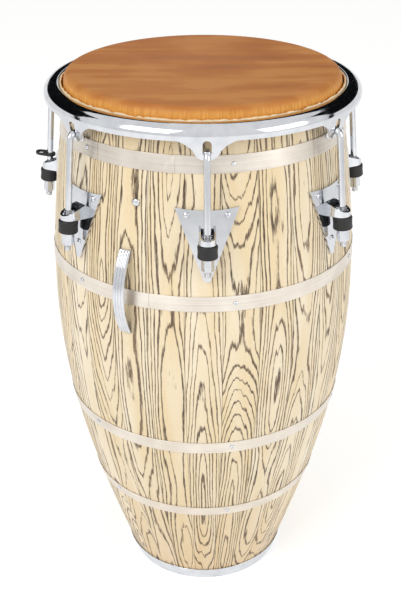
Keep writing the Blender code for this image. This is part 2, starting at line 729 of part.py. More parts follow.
def make_wrench_holder(axis):
    """Flat tab with two holes: one grips the rod and one takes the wrench."""
    curve = bpy.data.curves.new("wrench_holder", "CURVE")
    curve.dimensions = "2D"
    curve.fill_mode = "BOTH"
    curve.extrude = HOLDER_THICKNESS / 2
    outline = []
    for centre, start in ((HOLDER_OUTER_REACH - HOLDER_HALF_WIDTH, -90.0),
                          (HOLDER_HALF_WIDTH - HOLDER_INNER_REACH, 90.0)):
        for turn in half_circle(start):
            outline.append((centre + HOLDER_HALF_WIDTH * math.cos(turn), HOLDER_HALF_WIDTH * math.sin(turn)))
    loops = [outline]
    for centre, radius in ((0.0, ROD_RADIUS + FIT_GAP), (HOLDER_EYE_OFFSET, HOLDER_EYE_RADIUS)):
        turns = [math.tau * i / BORE_SIDES for i in range(BORE_SIDES)]
        loops.append([(centre + radius * math.cos(turn), radius * math.sin(turn)) for turn in turns])
    for loop in loops:
        spline = curve.splines.new("POLY")
        spline.points.add(len(loop) - 1)
        for point, (x, y) in zip(spline.points, loop):
            point.co = (x, y, 0.0, 1.0)
        spline.use_cyclic_u = True
    mesh = settled(add_guide("wrench_holder", curve), "wrench_holder")
    place = Matrix.Translation((0.0, 0.0, along_rod(HOLDER_HEIGHT)))
    add_part("wrench_holder", mesh, "rubber", place, axis)


# Handle and stud

def handle_offset(share):
    """Distance of the strap's outer face from the shell, at a share of its length."""
    rest = HANDLE_THICKNESS + FIT_GAP
    return rest + (HANDLE_STANDOFF - rest) * math.sin(math.pi * share) ** HANDLE_BOW


def handle_section():
    """Half-widths and heights of the strap's outer face, with its lengthwise ribs."""
    points = []
    half = HANDLE_WIDTH / 2
    for i in range(2 * HANDLE_RIBS + 1):
        raised = HANDLE_RIB_HEIGHT if i % 2 else 0.0
        points.append((-half + HANDLE_WIDTH * i / (2 * HANDLE_RIBS), raised - HANDLE_RIB_HEIGHT))
    return points


def make_handle():
    """Ribbed strap with a foot at each end, and the two bolts that hold it."""
    mesh = bpy.data.meshes.new("handle")
    work = bmesh.new()
    section = handle_section()
    rows = []
    for i in range(HANDLE_STATIONS):
        share = i / (HANDLE_STATIONS - 1)
        height = HANDLE_BOTTOM + (HANDLE_TOP - HANDLE_BOTTOM) * share
        base = shell_radius(height) + handle_offset(share)
        row = [work.verts.new((base + raised, across, height)) for across, raised in section]
        under = base - HANDLE_THICKNESS
        row += [work.verts.new((under, across, height)) for across in (HANDLE_WIDTH / 2, -HANDLE_WIDTH / 2)]
        rows.append(row)
    count = len(rows[0])
    for low, high in zip(rows, rows[1:]):
        for i in range(count):
            j = (i + 1) % count
            work.faces.new((low[i], low[j], high[j], high[i]))
    work.faces.new(rows[0])
    work.faces.new(rows[-1])
    bmesh.ops.recalc_face_normals(work, faces=work.faces)
    work.to_mesh(mesh)
    work.free()
    strap = add_guide("handle_strap", mesh)
    helpers = []
    pads = ((HANDLE_BOTTOM, HANDLE_BOTTOM + FOOT_PAD_LENGTH), (HANDLE_TOP - FOOT_PAD_LENGTH, HANDLE_TOP))
    for low, high in pads:
        near = max(shell_radius(low), shell_radius(high), shell_radius((low + high) / 2)) + FIT_GAP
        far = near + PAD_SHARE * HANDLE_THICKNESS
        block = block_mesh("foot_pad", (near, -HANDLE_WIDTH / 2 + FIT_GAP, low + FIT_GAP),
                           (far, HANDLE_WIDTH / 2 - FIT_GAP, high - FIT_GAP))
        helpers.append(add_guide("foot_pad", block))
        add_boolean(strap, helpers[-1], "UNION")
    for height in bolt_heights():
        bore = cylinder_mesh("foot_bore", BOLT_RADIUS + FIT_GAP, -SHELL_WALL, BOLT_DEPTH + 2 * FIT_GAP,
                             BORE_SIDES)
        helpers.append(add_guide("foot_bore", bore, azimuth_turn(0.0).inverted() @ radial_frame(0.0, height)))
        add_boolean(strap, helpers[-1], "DIFFERENCE")
    mesh = settled(strap, "handle")
    for guide in helpers:
        bpy.data.objects.remove(guide, do_unlink=True)
    add_part("handle", mesh, "chrome", azimuth_turn(HANDLE_AZIMUTH))

    for name, height in zip(("handle_bolt_lower", "handle_bolt_upper"), bolt_heights()):
        floor = -SHELL_WALL - BOLT_HEAD_HEIGHT - 4 * FIT_GAP
        seat = floor + BOLT_HEAD_HEIGHT
        points = [(0.0, BOLT_DEPTH), (BOLT_RADIUS, BOLT_DEPTH), (BOLT_RADIUS, seat), (BOLT_HEAD_RADIUS, seat),
                  (BOLT_HEAD_RADIUS, floor), (0.0, floor)]
        bolt = add_part(name, profile_mesh(name, points, False), "zinc", radial_frame(HANDLE_AZIMUTH, height))
        add_screw(bolt, BORE_SIDES)


def make_stud():
    """Round-headed stud pressed into the wood."""
    rise = shell_radius(STUD_HEIGHT - STUD_HEAD_RADIUS) - shell_radius(STUD_HEIGHT) + FIT_GAP
    points = [(0.0, rise + STUD_DOME), (STUD_HEAD_RADIUS * 0.6, rise + STUD_DOME * 0.8),
              (STUD_HEAD_RADIUS, rise + STUD_DOME * 0.25), (STUD_HEAD_RADIUS, rise),
              (STUD_SHANK_RADIUS, rise), (STUD_SHANK_RADIUS, -STUD_SHANK_LENGTH), (0.0, -STUD_SHANK_LENGTH)]
    place = radial_frame(STUD_AZIMUTH, STUD_HEIGHT)
    stud = add_part("stud", profile_mesh("stud", points, False), "chrome", place)
    add_screw(stud, BORE_SIDES)


clear_scene()
DRUM = new_collection("tumba")
GUIDES = new_collection("guides")
make_shell()
make_bands()
make_base_rim()
make_head()
make_rim()
make_lugs()
make_handle()
make_stud()
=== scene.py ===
"""Looks of the tumba: finishes, fine meshes, small fasteners, studio and camera.

Metres and the part's own frame: +Z up the drum's axis, the floor at Z = 0, lug 1 facing -Y.
An azimuth is counted in degrees from -Y towards +X, as the lugs are.
"""

import json
import logging
import math
from collections.abc import Sequence
from dataclasses import dataclass, field
from enum import Enum

import bmesh
import bpy
from mathutils import Matrix, Vector, noise

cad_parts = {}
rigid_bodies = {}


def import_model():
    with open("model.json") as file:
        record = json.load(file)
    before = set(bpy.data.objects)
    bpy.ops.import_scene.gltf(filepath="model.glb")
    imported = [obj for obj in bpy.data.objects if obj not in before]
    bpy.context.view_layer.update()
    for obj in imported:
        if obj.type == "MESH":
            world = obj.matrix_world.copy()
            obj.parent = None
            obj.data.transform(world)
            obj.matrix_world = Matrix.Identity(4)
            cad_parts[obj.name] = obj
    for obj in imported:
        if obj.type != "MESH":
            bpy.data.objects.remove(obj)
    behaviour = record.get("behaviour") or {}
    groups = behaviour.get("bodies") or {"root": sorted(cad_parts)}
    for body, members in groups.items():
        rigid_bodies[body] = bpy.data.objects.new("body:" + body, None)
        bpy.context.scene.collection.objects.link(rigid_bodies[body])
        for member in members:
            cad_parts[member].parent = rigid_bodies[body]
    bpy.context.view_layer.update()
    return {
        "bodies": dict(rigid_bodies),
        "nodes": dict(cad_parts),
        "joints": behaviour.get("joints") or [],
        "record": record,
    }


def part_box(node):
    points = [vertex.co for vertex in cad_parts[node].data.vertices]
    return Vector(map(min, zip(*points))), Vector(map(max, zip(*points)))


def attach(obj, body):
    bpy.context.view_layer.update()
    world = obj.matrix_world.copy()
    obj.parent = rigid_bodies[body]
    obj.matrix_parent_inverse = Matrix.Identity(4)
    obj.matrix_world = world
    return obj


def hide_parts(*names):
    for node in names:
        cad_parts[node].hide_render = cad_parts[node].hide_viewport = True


LOG = logging.getLogger("tumba")
MILLIMETRES = 1000.0
HAIR = 0.0001
SHARP_ANGLE = math.radians(35.0)
CROWN_ANGLES = (8.0, 25.0, 42.0, 58.0, 72.0)
CROWN_FLATNESS = 0.8
RECESS_SHARES = ((0.26, 0.98), (0.20, 0.45), (0.0, 0.40))
SCREW_SIDES = 20
WHITE = (1.0, 1.0, 1.0, 1.0)

Pair = tuple[float, float]
Triple = tuple[float, float, float]
Profile = list[Pair]


class Slot(Enum):
    """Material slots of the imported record."""

    ASH = "ash_wood"
    CHROME = "chrome"
    BRUSHED = "brushed_steel"
    ZINC = "zinc_steel"
    HIDE = "rawhide"
    RUBBER = "rubber"


def linear(hex_colour: str) -> tuple[float, float, float, float]:
    """Turn an sRGB hex colour into linear values.

    Args:
        hex_colour: Six hex digits after a hash sign.

    Returns:
        Linear red, green and blue, and an alpha of 1.
    """
    channels = [int(hex_colour[i:i + 2], 16) / 255.0 for i in (1, 3, 5)]
    red, green, blue = (c / 12.92 if c <= 0.04045 else ((c + 0.055) / 1.055) ** 2.4 for c in channels)
    return (red, green, blue, 1.0)


def wire(tree: bpy.types.NodeTree, kind: str, inputs: dict | None = None,
         stops: Sequence[tuple[float, str]] = (), **settings: object) -> bpy.types.Node:
    """Add a node, with its settings, its input values and the links into it.

    Args:
        tree: Node tree that takes the node.
        kind: Blender's type name of the node, after its word ShaderNode.
        inputs: Input name or number to a value, or to the output socket that feeds it.
        stops: Positions and hex colours of a colour ramp, for a node that has one.
        settings: Properties of the node.

    Returns:
        The new node.
    """
    made = tree.nodes.new("ShaderNode" + kind)
    for key, value in settings.items():
        setattr(made, key, value)
    for key, value in (inputs or {}).items():
        if isinstance(value, bpy.types.NodeSocket):
            tree.links.new(value, made.inputs[key])
        else:
            made.inputs[key].default_value = value
    for number, (position, colour) in enumerate(stops):
        elements = made.color_ramp.elements
        element = elements[number] if number < 2 else elements.new(position)
        element.position = position
        element.color = linear(colour)
    return made


def blank_material(name: str) -> tuple[bpy.types.Material, bpy.types.NodeTree]:
    """Make a material with an empty node tree.

    Args:
        name: Name of the material.

    Returns:
        The material and its tree.
    """
    material = bpy.data.materials.new(name)
    material.use_nodes = True
    material.node_tree.nodes.clear()
    return material, material.node_tree


@dataclass(frozen=True)
class SculptedAsh:
    """Flat-sawn ash staves, wire-brushed so that the open grain stands out, with dark filled pores.

    The eye sees cream late wood, dark brown lines that run in arches, and a soft satin lacquer.
    Each stave is a board whose frame runs across it and up it in millimetres, and a wave holds the
    cells of its noise to the millimetre on those two axes.
    """

    staves: int = 27
    first_joint: float = 0.35
    rare_heart: float = 0.30
    heart_mm: Pair = (3.0, 46.0)
    ring_mm: float = 3.5
    pith_mm: float = 17.0
    pith_wander_mm: float = 62.0
    wander_per_metre: float = 2.3
    board_stride: float = 17.3
    seed_stride: float = 5.7
    slow_wave: Triple = (0.07, 0.0085, 1.0)
    slow_mm: float = 8.0
    fray_wave: Triple = (0.8, 0.060, 1.0)
    fray_mm: float = 1.5
    line_share: Pair = (0.30, 0.58)
    line_rise: float = 0.10
    line_fade: float = 0.55
    flat_slope: float = 0.7
    flat_thinning: float = 0.45
    pore_wave: Triple = (1.9, 0.12, 1.0)
    pore_gap: Pair = (0.32, 0.52)
    pore_gap_depth: float = 0.50
    stray_pore: Pair = (0.62, 0.80)
    stray_depth: float = 0.40
    joint_mm: Pair = (0.15, 0.6)
    joint_depth: float = 0.6
    blotch_wave: Triple = (0.05, 0.006, 1.0)
    board_tint: float = 0.55
    warm_heights: Pair = (0.02, 0.22)
    foot_warmth: float = 0.42
    cream: str = "#F3E9D4"
    straw: str = "#E6D0A8"
    honey: str = "#D9B27A"
    pore_brown: str = "#3D2B1D"
    pore_tan: str = "#6E5136"
    roughness: Pair = (0.40, 0.62)
    relief: float = 0.0004
    relief_strength: float = 0.7

    def build(self) -> bpy.types.Material:
        """Build the material.

        Returns:
            A material that works from the shell's own coordinates.
        """
        material, tree = blank_material("sculpted_ash")
        place = wire(tree, "TexCoord")
        axes = wire(tree, "SeparateXYZ", {0: place.outputs["Object"]})
        x, y, z = (axes.outputs[i] for i in range(3))
        height = wire(tree, "Math", {0: z, 1: MILLIMETRES}, operation="MULTIPLY").outputs[0]
        flat = wire(tree, "CombineXYZ", {0: x, 1: y})
        radius = wire(tree, "VectorMath", {0: flat.outputs[0]}, operation="LENGTH").outputs["Value"]
        turn = wire(tree, "Math", {0: y, 1: x}, operation="ARCTAN2").outputs[0]
        count = wire(tree, "Math", {0: turn, 1: self.staves / math.tau, 2: self.staves + self.first_joint},
                     operation="MULTIPLY_ADD").outputs[0]
        stave = wire(tree, "Math", {0: count}, operation="FLOOR").outputs[0]
        share = wire(tree, "Math", {0: count}, operation="FRACT").outputs[0]
        middle = wire(tree, "Math", {0: share, 1: 0.5}, operation="SUBTRACT").outputs[0]
        width = wire(tree, "Math", {0: radius, 1: MILLIMETRES * math.tau / self.staves},
                     operation="MULTIPLY").outputs[0]
        across = wire(tree, "Math", {0: middle, 1: width}, operation="MULTIPLY").outputs[0]

        # Each stave has its own board: how far its middle lies from the heart of the log, and its tint
        chance = wire(tree, "TexWhiteNoise", {"W": stave}, noise_dimensions="1D")
        chances = wire(tree, "SeparateColor", {0: chance.outputs["Color"]})
        first, second, third = (chances.outputs[i] for i in range(3))
        lean = wire(tree, "MapRange", {0: first, 1: self.rare_heart, 2: 1.0, 3: self.heart_mm[0],
                                       4: self.heart_mm[1]}).outputs[0]
        side = wire(tree, "MapRange", {0: second, 1: 0.0, 2: 1.0, 3: -1.0, 4: 1.0}).outputs[0]
        heart = wire(tree, "Math", {0: lean, 1: side}, operation="MULTIPLY").outputs[0]
        from_heart = wire(tree, "Math", {0: across, 1: heart}, operation="SUBTRACT").outputs[0]
        board_start = wire(tree, "Math", {0: stave, 1: self.board_stride}, operation="MULTIPLY").outputs[0]
        along = wire(tree, "Math", {0: z, 1: self.wander_per_metre, 2: board_start},
                     operation="MULTIPLY_ADD").outputs[0]
        bow = wire(tree, "TexNoise", {"W": along, "Scale": 1.0, "Detail": 1.0, "Roughness": 0.35},
                   noise_dimensions="1D").outputs[0]
        wander = wire(tree, "Math", {0: bow, 1: self.pith_wander_mm,
                                     2: self.pith_mm - self.pith_wander_mm / 2},
                      operation="MULTIPLY_ADD").outputs[0]
        cut = wire(tree, "CombineXYZ", {0: from_heart, 1: wander})
        log_radius = wire(tree, "VectorMath", {0: cut.outputs[0]}, operation="LENGTH").outputs["Value"]

        # Waves in the rings: slow ones in cells of 14 by 118 mm, and fine ones of 1.3 by 17 mm that fray them
        seed = wire(tree, "Math", {0: stave, 1: self.seed_stride}, operation="MULTIPLY").outputs[0]
        board = wire(tree, "CombineXYZ", {0: across, 1: height, 2: seed}).outputs[0]
        slow_place = wire(tree, "VectorMath", {0: board, 1: self.slow_wave}, operation="MULTIPLY").outputs[0]
        slow = wire(tree, "TexNoise", {"Vector": slow_place, "Scale": 1.0, "Detail": 2.0}).outputs[0]
        fray_place = wire(tree, "VectorMath", {0: board, 1: self.fray_wave}, operation="MULTIPLY").outputs[0]
        fray = wire(tree, "TexNoise", {"Vector": fray_place, "Scale": 1.0, "Detail": 3.0,
                                       "Roughness": 0.65}).outputs[0]
        waved = wire(tree, "Math", {0: slow, 1: self.slow_mm, 2: log_radius},
                     operation="MULTIPLY_ADD").outputs[0]
        frayed = wire(tree, "Math", {0: fray, 1: self.fray_mm, 2: waved}, operation="MULTIPLY_ADD").outputs[0]
        rings = wire(tree, "Math", {0: frayed, 1: self.ring_mm}, operation="DIVIDE").outputs[0]
        ring = wire(tree, "Math", {0: rings}, operation="FLOOR").outputs[0]
        season = wire(tree, "Math", {0: rings}, operation="FRACT").outputs[0]

        # A dark line opens each ring, thinner where the board is sawn flat through it
        year = wire(tree, "Math", {0: ring, 1: seed}, operation="ADD").outputs[0]
        luck = wire(tree, "TexWhiteNoise", {"W": year}, noise_dimensions="1D").outputs["Value"]
        thick = wire(tree, "MapRange", {0: luck, 1: 0.0, 2: 1.0, 3: self.line_share[0],
                                        4: self.line_share[1]}).outputs[0]
        offset = wire(tree, "Math", {0: from_heart}, operation="ABSOLUTE").outputs[0]
        slope = wire(tree, "Math", {0: offset, 1: log_radius}, operation="DIVIDE").outputs[0]
        thin = wire(tree, "MapRange", {0: slope, 1: 0.0, 2: self.flat_slope, 3: self.flat_thinning,
                                       4: 1.0}).outputs[0]
        end = wire(tree, "Math", {0: thick, 1: thin}, operation="MULTIPLY").outputs[0]
        fade = wire(tree, "Math", {0: end, 1: self.line_fade}, operation="MULTIPLY").outputs[0]
        rise = wire(tree, "MapRange", {0: season, 1: 0.0, 2: self.line_rise, 3: 0.0, 4: 1.0},
                    interpolation_type="SMOOTHSTEP").outputs[0]
        fall = wire(tree, "MapRange", {0: season, 1: fade, 2: end, 3: 1.0, 4: 0.0},
                    interpolation_type="SMOOTHSTEP").outputs[0]
        line = wire(tree, "Math", {0: rise, 1: fall}, operation="MULTIPLY").outputs[0]

        # Pores break each line into short strokes; real ones are 0.3 mm wide, drawn as 0.5 mm to show
        pore_place = wire(tree, "VectorMath", {0: board, 1: self.pore_wave}, operation="MULTIPLY").outputs[0]
        pores = wire(tree, "TexNoise", {"Vector": pore_place, "Scale": 1.0, "Detail": 2.0,
                                        "Roughness": 0.7}).outputs[0]
        broken = wire(tree, "MapRange", {0: pores, 1: self.pore_gap[0], 2: self.pore_gap[1],
                                         3: self.pore_gap_depth, 4: 1.0}).outputs[0]
        strokes = wire(tree, "Math", {0: line, 1: broken}, operation="MULTIPLY").outputs[0]
        stray = wire(tree, "MapRange", {0: pores, 1: self.stray_pore[0], 2: self.stray_pore[1],
                                        3: 0.0, 4: self.stray_depth}).outputs[0]
        dark = wire(tree, "Math", {0: strokes, 1: stray}, operation="MAXIMUM").outputs[0]

        # Glue joints between staves show as hairlines
        edge = wire(tree, "Math", {0: middle}, operation="ABSOLUTE").outputs[0]
        inside = wire(tree, "Math", {0: 0.5, 1: edge}, operation="SUBTRACT").outputs[0]
        gap = wire(tree, "Math", {0: inside, 1: width}, operation="MULTIPLY").outputs[0]
        joint = wire(tree, "MapRange", {0: gap, 1: self.joint_mm[0], 2: self.joint_mm[1],
                                        3: self.joint_depth, 4: 0.0}).outputs[0]

        blotch_place = wire(tree, "VectorMath", {0: board, 1: self.blotch_wave},
                            operation="MULTIPLY").outputs[0]
        blotch = wire(tree, "TexNoise", {"Vector": blotch_place, "Scale": 1.0, "Detail": 2.0}).outputs[0]
        tint = wire(tree, "Math", {0: third, 1: self.board_tint, 2: blotch},
                    operation="MULTIPLY_ADD").outputs[0]
        late = wire(tree, "ValToRGB", {0: tint}, stops=((0.40, self.cream), (1.05, self.straw))).outputs[0]
        low = wire(tree, "MapRange", {0: z, 1: self.warm_heights[0], 2: self.warm_heights[1],
                                      3: self.foot_warmth, 4: 0.0}).outputs[0]
        warm = wire(tree, "Mix", {0: low, 6: late, 7: linear(self.honey)}, data_type="RGBA").outputs[2]
        pore = wire(tree, "ValToRGB", {0: slow},
                    stops=((0.35, self.pore_brown), (0.75, self.pore_tan))).outputs[0]
        grained = wire(tree, "Mix", {0: dark, 6: warm, 7: pore}, data_type="RGBA").outputs[2]
        jointed = wire(tree, "Mix", {0: joint, 6: grained, 7: linear(self.pore_brown)},
                       data_type="RGBA").outputs[2]
        rough = wire(tree, "MapRange", {0: dark, 1: 0.0, 2: 1.0, 3: self.roughness[0],
                                        4: self.roughness[1]}).outputs[0]
        bump = wire(tree, "Bump", {"Height": dark, "Strength": self.relief_strength,
                                   "Distance": self.relief}, invert=True).outputs[0]
        shader = wire(tree, "BsdfPrincipled",
                      {"Base Color": jointed, "Roughness": rough, "Normal": bump, "IOR": 1.50,
                       "Coat Weight": 0.15, "Coat Roughness": 0.30})
        wire(tree, "OutputMaterial", {"Surface": shader.outputs[0]})
        return material


@dataclass(frozen=True)
class Rawhide:
    """Scraped and dried buffalo hide, oiled, stretched over the bearing edge.

    The eye sees brown amber with faint streaks, a paler stretched collar, and a low waxy gloss.
    """

    amber: str = "#B26E30"
    brown: str = "#A1602A"
    pale: str = "#BE7F40"
    collar: str = "#EBAE58"
    collar_dark: str = "#CB8433"
    raw: str = "#EBD8B8"
    streak_metres: float = 0.050
    streak_stretch: Triple = (0.22, 1.4, 1.0)
    cloud_metres: float = 1.0 / 9.0
    cloud_share: float = 0.8
    pull_stretch: Triple = (55.0, 40.0, 0.0)
    follicle_metres: float = 1.0 / 900.0
    crown_height: float = 0.7112
    collar_depth: float = 0.0100
    hem_radius: float = 0.1712
    edge_blur: float = 0.001
    roughness: Pair = (0.48, 0.62)

    def build(self) -> bpy.types.Material:
        """Build the material.

        Returns:
            A material that tells the face from the collar by height.
        """
        material, tree = blank_material("oiled_rawhide")
        place = wire(tree, "TexCoord").outputs["Object"]
        axes = wire(tree, "SeparateXYZ", {0: place})
        streak_place = wire(tree, "VectorMath", {0: place, 1: self.streak_stretch},
                            operation="MULTIPLY").outputs[0]
        streaks = wire(tree, "TexNoise",
                       {"Vector": streak_place, "Scale": 1.0 / self.streak_metres, "Detail": 5.0,
                        "Roughness": 0.55, "Distortion": 0.4}).outputs[0]
        clouds = wire(tree, "TexNoise", {"Vector": place, "Scale": 1.0 / self.cloud_metres,
                                         "Detail": 3.0}).outputs[0]
        both = wire(tree, "Math", {0: clouds, 1: self.cloud_share, 2: streaks},
                    operation="MULTIPLY_ADD").outputs[0]
        face = wire(tree, "ValToRGB", {0: both},
                    stops=((0.62, self.brown), (1.0, self.pale), (0.88, self.amber))).outputs[0]
        turn = wire(tree, "Math", {0: axes.outputs[1], 1: axes.outputs[0]}, operation="ARCTAN2").outputs[0]
        pull_place = wire(tree, "CombineXYZ", {0: turn, 1: axes.outputs[2]}).outputs[0]
        pull_scaled = wire(tree, "VectorMath", {0: pull_place, 1: self.pull_stretch},
                           operation="MULTIPLY").outputs[0]
        pulls = wire(tree, "TexNoise", {"Vector": pull_scaled, "Scale": 1.0, "Detail": 4.0,
                                        "Roughness": 0.6}).outputs[0]
        side = wire(tree, "ValToRGB", {0: pulls},
                    stops=((0.34, self.collar_dark), (0.68, self.collar))).outputs[0]
        down = wire(tree, "MapRange",
                    {0: axes.outputs[2], 1: self.crown_height - self.edge_blur,
                     2: self.crown_height - self.collar_depth, 3: 0.0, 4: 1.0},
                    interpolation_type="SMOOTHSTEP").outputs[0]
        colour = wire(tree, "Mix", {0: down, 6: face, 7: side}, data_type="RGBA").outputs[2]
        flat = wire(tree, "CombineXYZ", {0: axes.outputs[0], 1: axes.outputs[1]}).outputs[0]
        reach = wire(tree, "VectorMath", {0: flat}, operation="LENGTH").outputs["Value"]
        hem = wire(tree, "MapRange", {0: reach, 1: self.hem_radius, 3: 0.0, 4: 1.0,
                                      2: self.hem_radius + self.edge_blur}).outputs[0]
        edged = wire(tree, "Mix", {0: hem, 6: colour, 7: linear(self.raw)}, data_type="RGBA").outputs[2]

        # Real follicles are some 0.2 mm apart, and are drawn 1.1 mm apart to show
        follicles = wire(tree, "TexNoise", {"Vector": place, "Scale": 1.0 / self.follicle_metres,
                                            "Detail": 3.0}).outputs[0]
        relief = wire(tree, "Mix", {0: down, 2: follicles, 3: pulls}, data_type="FLOAT").outputs[0]
        bump = wire(tree, "Bump", {"Height": relief, "Strength": 0.35, "Distance": 0.0005}).outputs[0]
        rough = wire(tree, "MapRange", {0: streaks, 1: 0.3, 2: 0.7, 3: self.roughness[0],
                                        4: self.roughness[1]}).outputs[0]
        shader = wire(tree, "BsdfPrincipled",
                      {"Base Color": edged, "Roughness": rough, "Normal": bump, "IOR": 1.45,
                       "Specular IOR Level": 0.35})
        wire(tree, "OutputMaterial", {"Surface": shader.outputs[0]})
        return material


@dataclass(frozen=True)
class ChromePlate:
    """Steel, buffed and chrome plated.

    The eye sees the studio in it, slightly cool, with faint buffing haze and finger marks.
    """

    tint: str = "#D3D5D9"
    haze: str = "#C4C6CB"
    clear_roughness: float = 0.05
    hazy_roughness: float = 0.15
    mark_metres: float = 1.0 / 70.0
    mark_range: Pair = (0.35, 0.75)
    ripple_metres: float = 1.0 / 160.0
    thread_pitch: float = 0.0
    thread_depth: float = 0.0005

    def build(self, name: str, thread_top: float = 0.0) -> bpy.types.Material:
        """Build the material.

        Args:
            name: Name of the material.
            thread_top: Height in the piece's own frame under which a thread is cut, if there is one.

        Returns:
            A chrome material, with thread grooves if a pitch is given.
        """
        material, tree = blank_material(name)
        place = wire(tree, "TexCoord").outputs["Object"]
        marks = wire(tree, "TexNoise", {"Vector": place, "Scale": 1.0 / self.mark_metres,
                                        "Detail": 4.0}).outputs[0]
        clear, hazy = self.mark_range
        colour = wire(tree, "ValToRGB", {0: marks}, stops=((clear, self.tint), (hazy, self.haze))).outputs[0]
        rough = wire(tree, "MapRange", {0: marks, 1: clear, 2: hazy, 3: self.clear_roughness,
                                        4: self.hazy_roughness}).outputs[0]
        ripple = wire(tree, "TexNoise", {"Vector": place, "Scale": 1.0 / self.ripple_metres,
                                         "Detail": 1.0}).outputs[0]
        bump = wire(tree, "Bump", {"Height": ripple, "Strength": 0.08, "Distance": 0.0004})
        if self.thread_pitch:
            local = wire(tree, "SeparateXYZ", {0: place}).outputs[2]
            phase = wire(tree, "Math", {0: local, 1: math.tau / self.thread_pitch},
                         operation="MULTIPLY").outputs[0]
            ridge = wire(tree, "Math", {0: phase}, operation="SINE").outputs[0]
            cut = wire(tree, "Math", {0: local, 1: thread_top}, operation="LESS_THAN").outputs[0]
            grooves = wire(tree, "Math", {0: ridge, 1: cut}, operation="MULTIPLY").outputs[0]
            bump = wire(tree, "Bump", {"Height": grooves, "Strength": 1.0, "Normal": bump.outputs[0],
                                       "Distance": self.thread_depth})
        shader = wire(tree, "BsdfPrincipled",
                      {"Base Color": colour, "Roughness": rough, "Normal": bump.outputs[0], "Metallic": 1.0})
        wire(tree, "OutputMaterial", {"Surface": shader.outputs[0]})
        return material


@dataclass(frozen=True)
class BrushedStrip:
    """Stainless strip, brushed along its length, bent round the drum.

    The eye sees a warm grey sheen with fine lines that run round the drum.
    """

    light: str = "#E8E1D7"
    dark: str = "#C6BCB0"
    line_metres: float = 0.0006
    cloud_metres: float = 1.0 / 30.0
    cloud_share: float = 0.5
    roughness: Pair = (0.26, 0.42)

    def build(self) -> bpy.types.Material:
        """Build the material.

        Returns:
            A steel material whose lines follow the circumference.
        """
        material, tree = blank_material("brushed_stainless")
        place = wire(tree, "TexCoord").outputs["Object"]
        axes = wire(tree, "SeparateXYZ", {0: place})
        turn = wire(tree, "Math", {0: axes.outputs[1], 1: axes.outputs[0]}, operation="ARCTAN2").outputs[0]

        # Real brush lines are finer than 0.1 mm, and are drawn 0.6 mm wide to show
        rows = wire(tree, "Math", {0: axes.outputs[2], 1: 1.0 / self.line_metres},
                    operation="MULTIPLY").outputs[0]
        strip = wire(tree, "CombineXYZ", {0: turn, 1: rows}).outputs[0]
        lines = wire(tree, "TexNoise", {"Vector": strip, "Scale": 1.0, "Detail": 3.0,
                                        "Roughness": 0.7}).outputs[0]
        clouds = wire(tree, "TexNoise", {"Vector": place, "Scale": 1.0 / self.cloud_metres,
                                         "Detail": 2.0}).outputs[0]
        both = wire(tree, "Math", {0: clouds, 1: self.cloud_share, 2: lines},
                    operation="MULTIPLY_ADD").outputs[0]
        colour = wire(tree, "ValToRGB", {0: both}, stops=((0.50, self.dark), (0.95, self.light))).outputs[0]
        rough = wire(tree, "MapRange", {0: lines, 1: 0.3, 2: 0.7, 3: self.roughness[0],
                                        4: self.roughness[1]}).outputs[0]
        bump = wire(tree, "Bump", {"Height": lines, "Strength": 0.15, "Distance": 0.0002}).outputs[0]
        shader = wire(tree, "BsdfPrincipled",
                      {"Base Color": colour, "Roughness": rough, "Normal": bump, "Metallic": 1.0,
                       "Anisotropic": 0.4})
        wire(tree, "OutputMaterial", {"Surface": shader.outputs[0]})
        return material


@dataclass(frozen=True)
class ZincPlate:
    """Mild steel, zinc plated: a dull grey with soft crystal blotches."""

    light: str = "#B9BCBF"
    dark: str = "#8D9093"
    bloom_metres: float = 1.0 / 240.0
    roughness: Pair = (0.32, 0.48)

    def build(self) -> bpy.types.Material:
        """Build the material.

        Returns:
            A dull steel material.
        """
        material, tree = blank_material("zinc_plated_steel")
        place = wire(tree, "TexCoord").outputs["Object"]
        bloom = wire(tree, "TexNoise", {"Vector": place, "Scale": 1.0 / self.bloom_metres,
                                        "Detail": 3.0}).outputs[0]
        colour = wire(tree, "ValToRGB", {0: bloom}, stops=((0.35, self.dark), (0.70, self.light))).outputs[0]
        rough = wire(tree, "MapRange", {0: bloom, 1: 0.3, 2: 0.7, 3: self.roughness[0],
                                        4: self.roughness[1]}).outputs[0]
        bump = wire(tree, "Bump", {"Height": bloom, "Strength": 0.15, "Distance": 0.0002}).outputs[0]
        shader = wire(tree, "BsdfPrincipled",
                      {"Base Color": colour, "Roughness": rough, "Normal": bump, "Metallic": 1.0})
        wire(tree, "OutputMaterial", {"Surface": shader.outputs[0]})
        return material


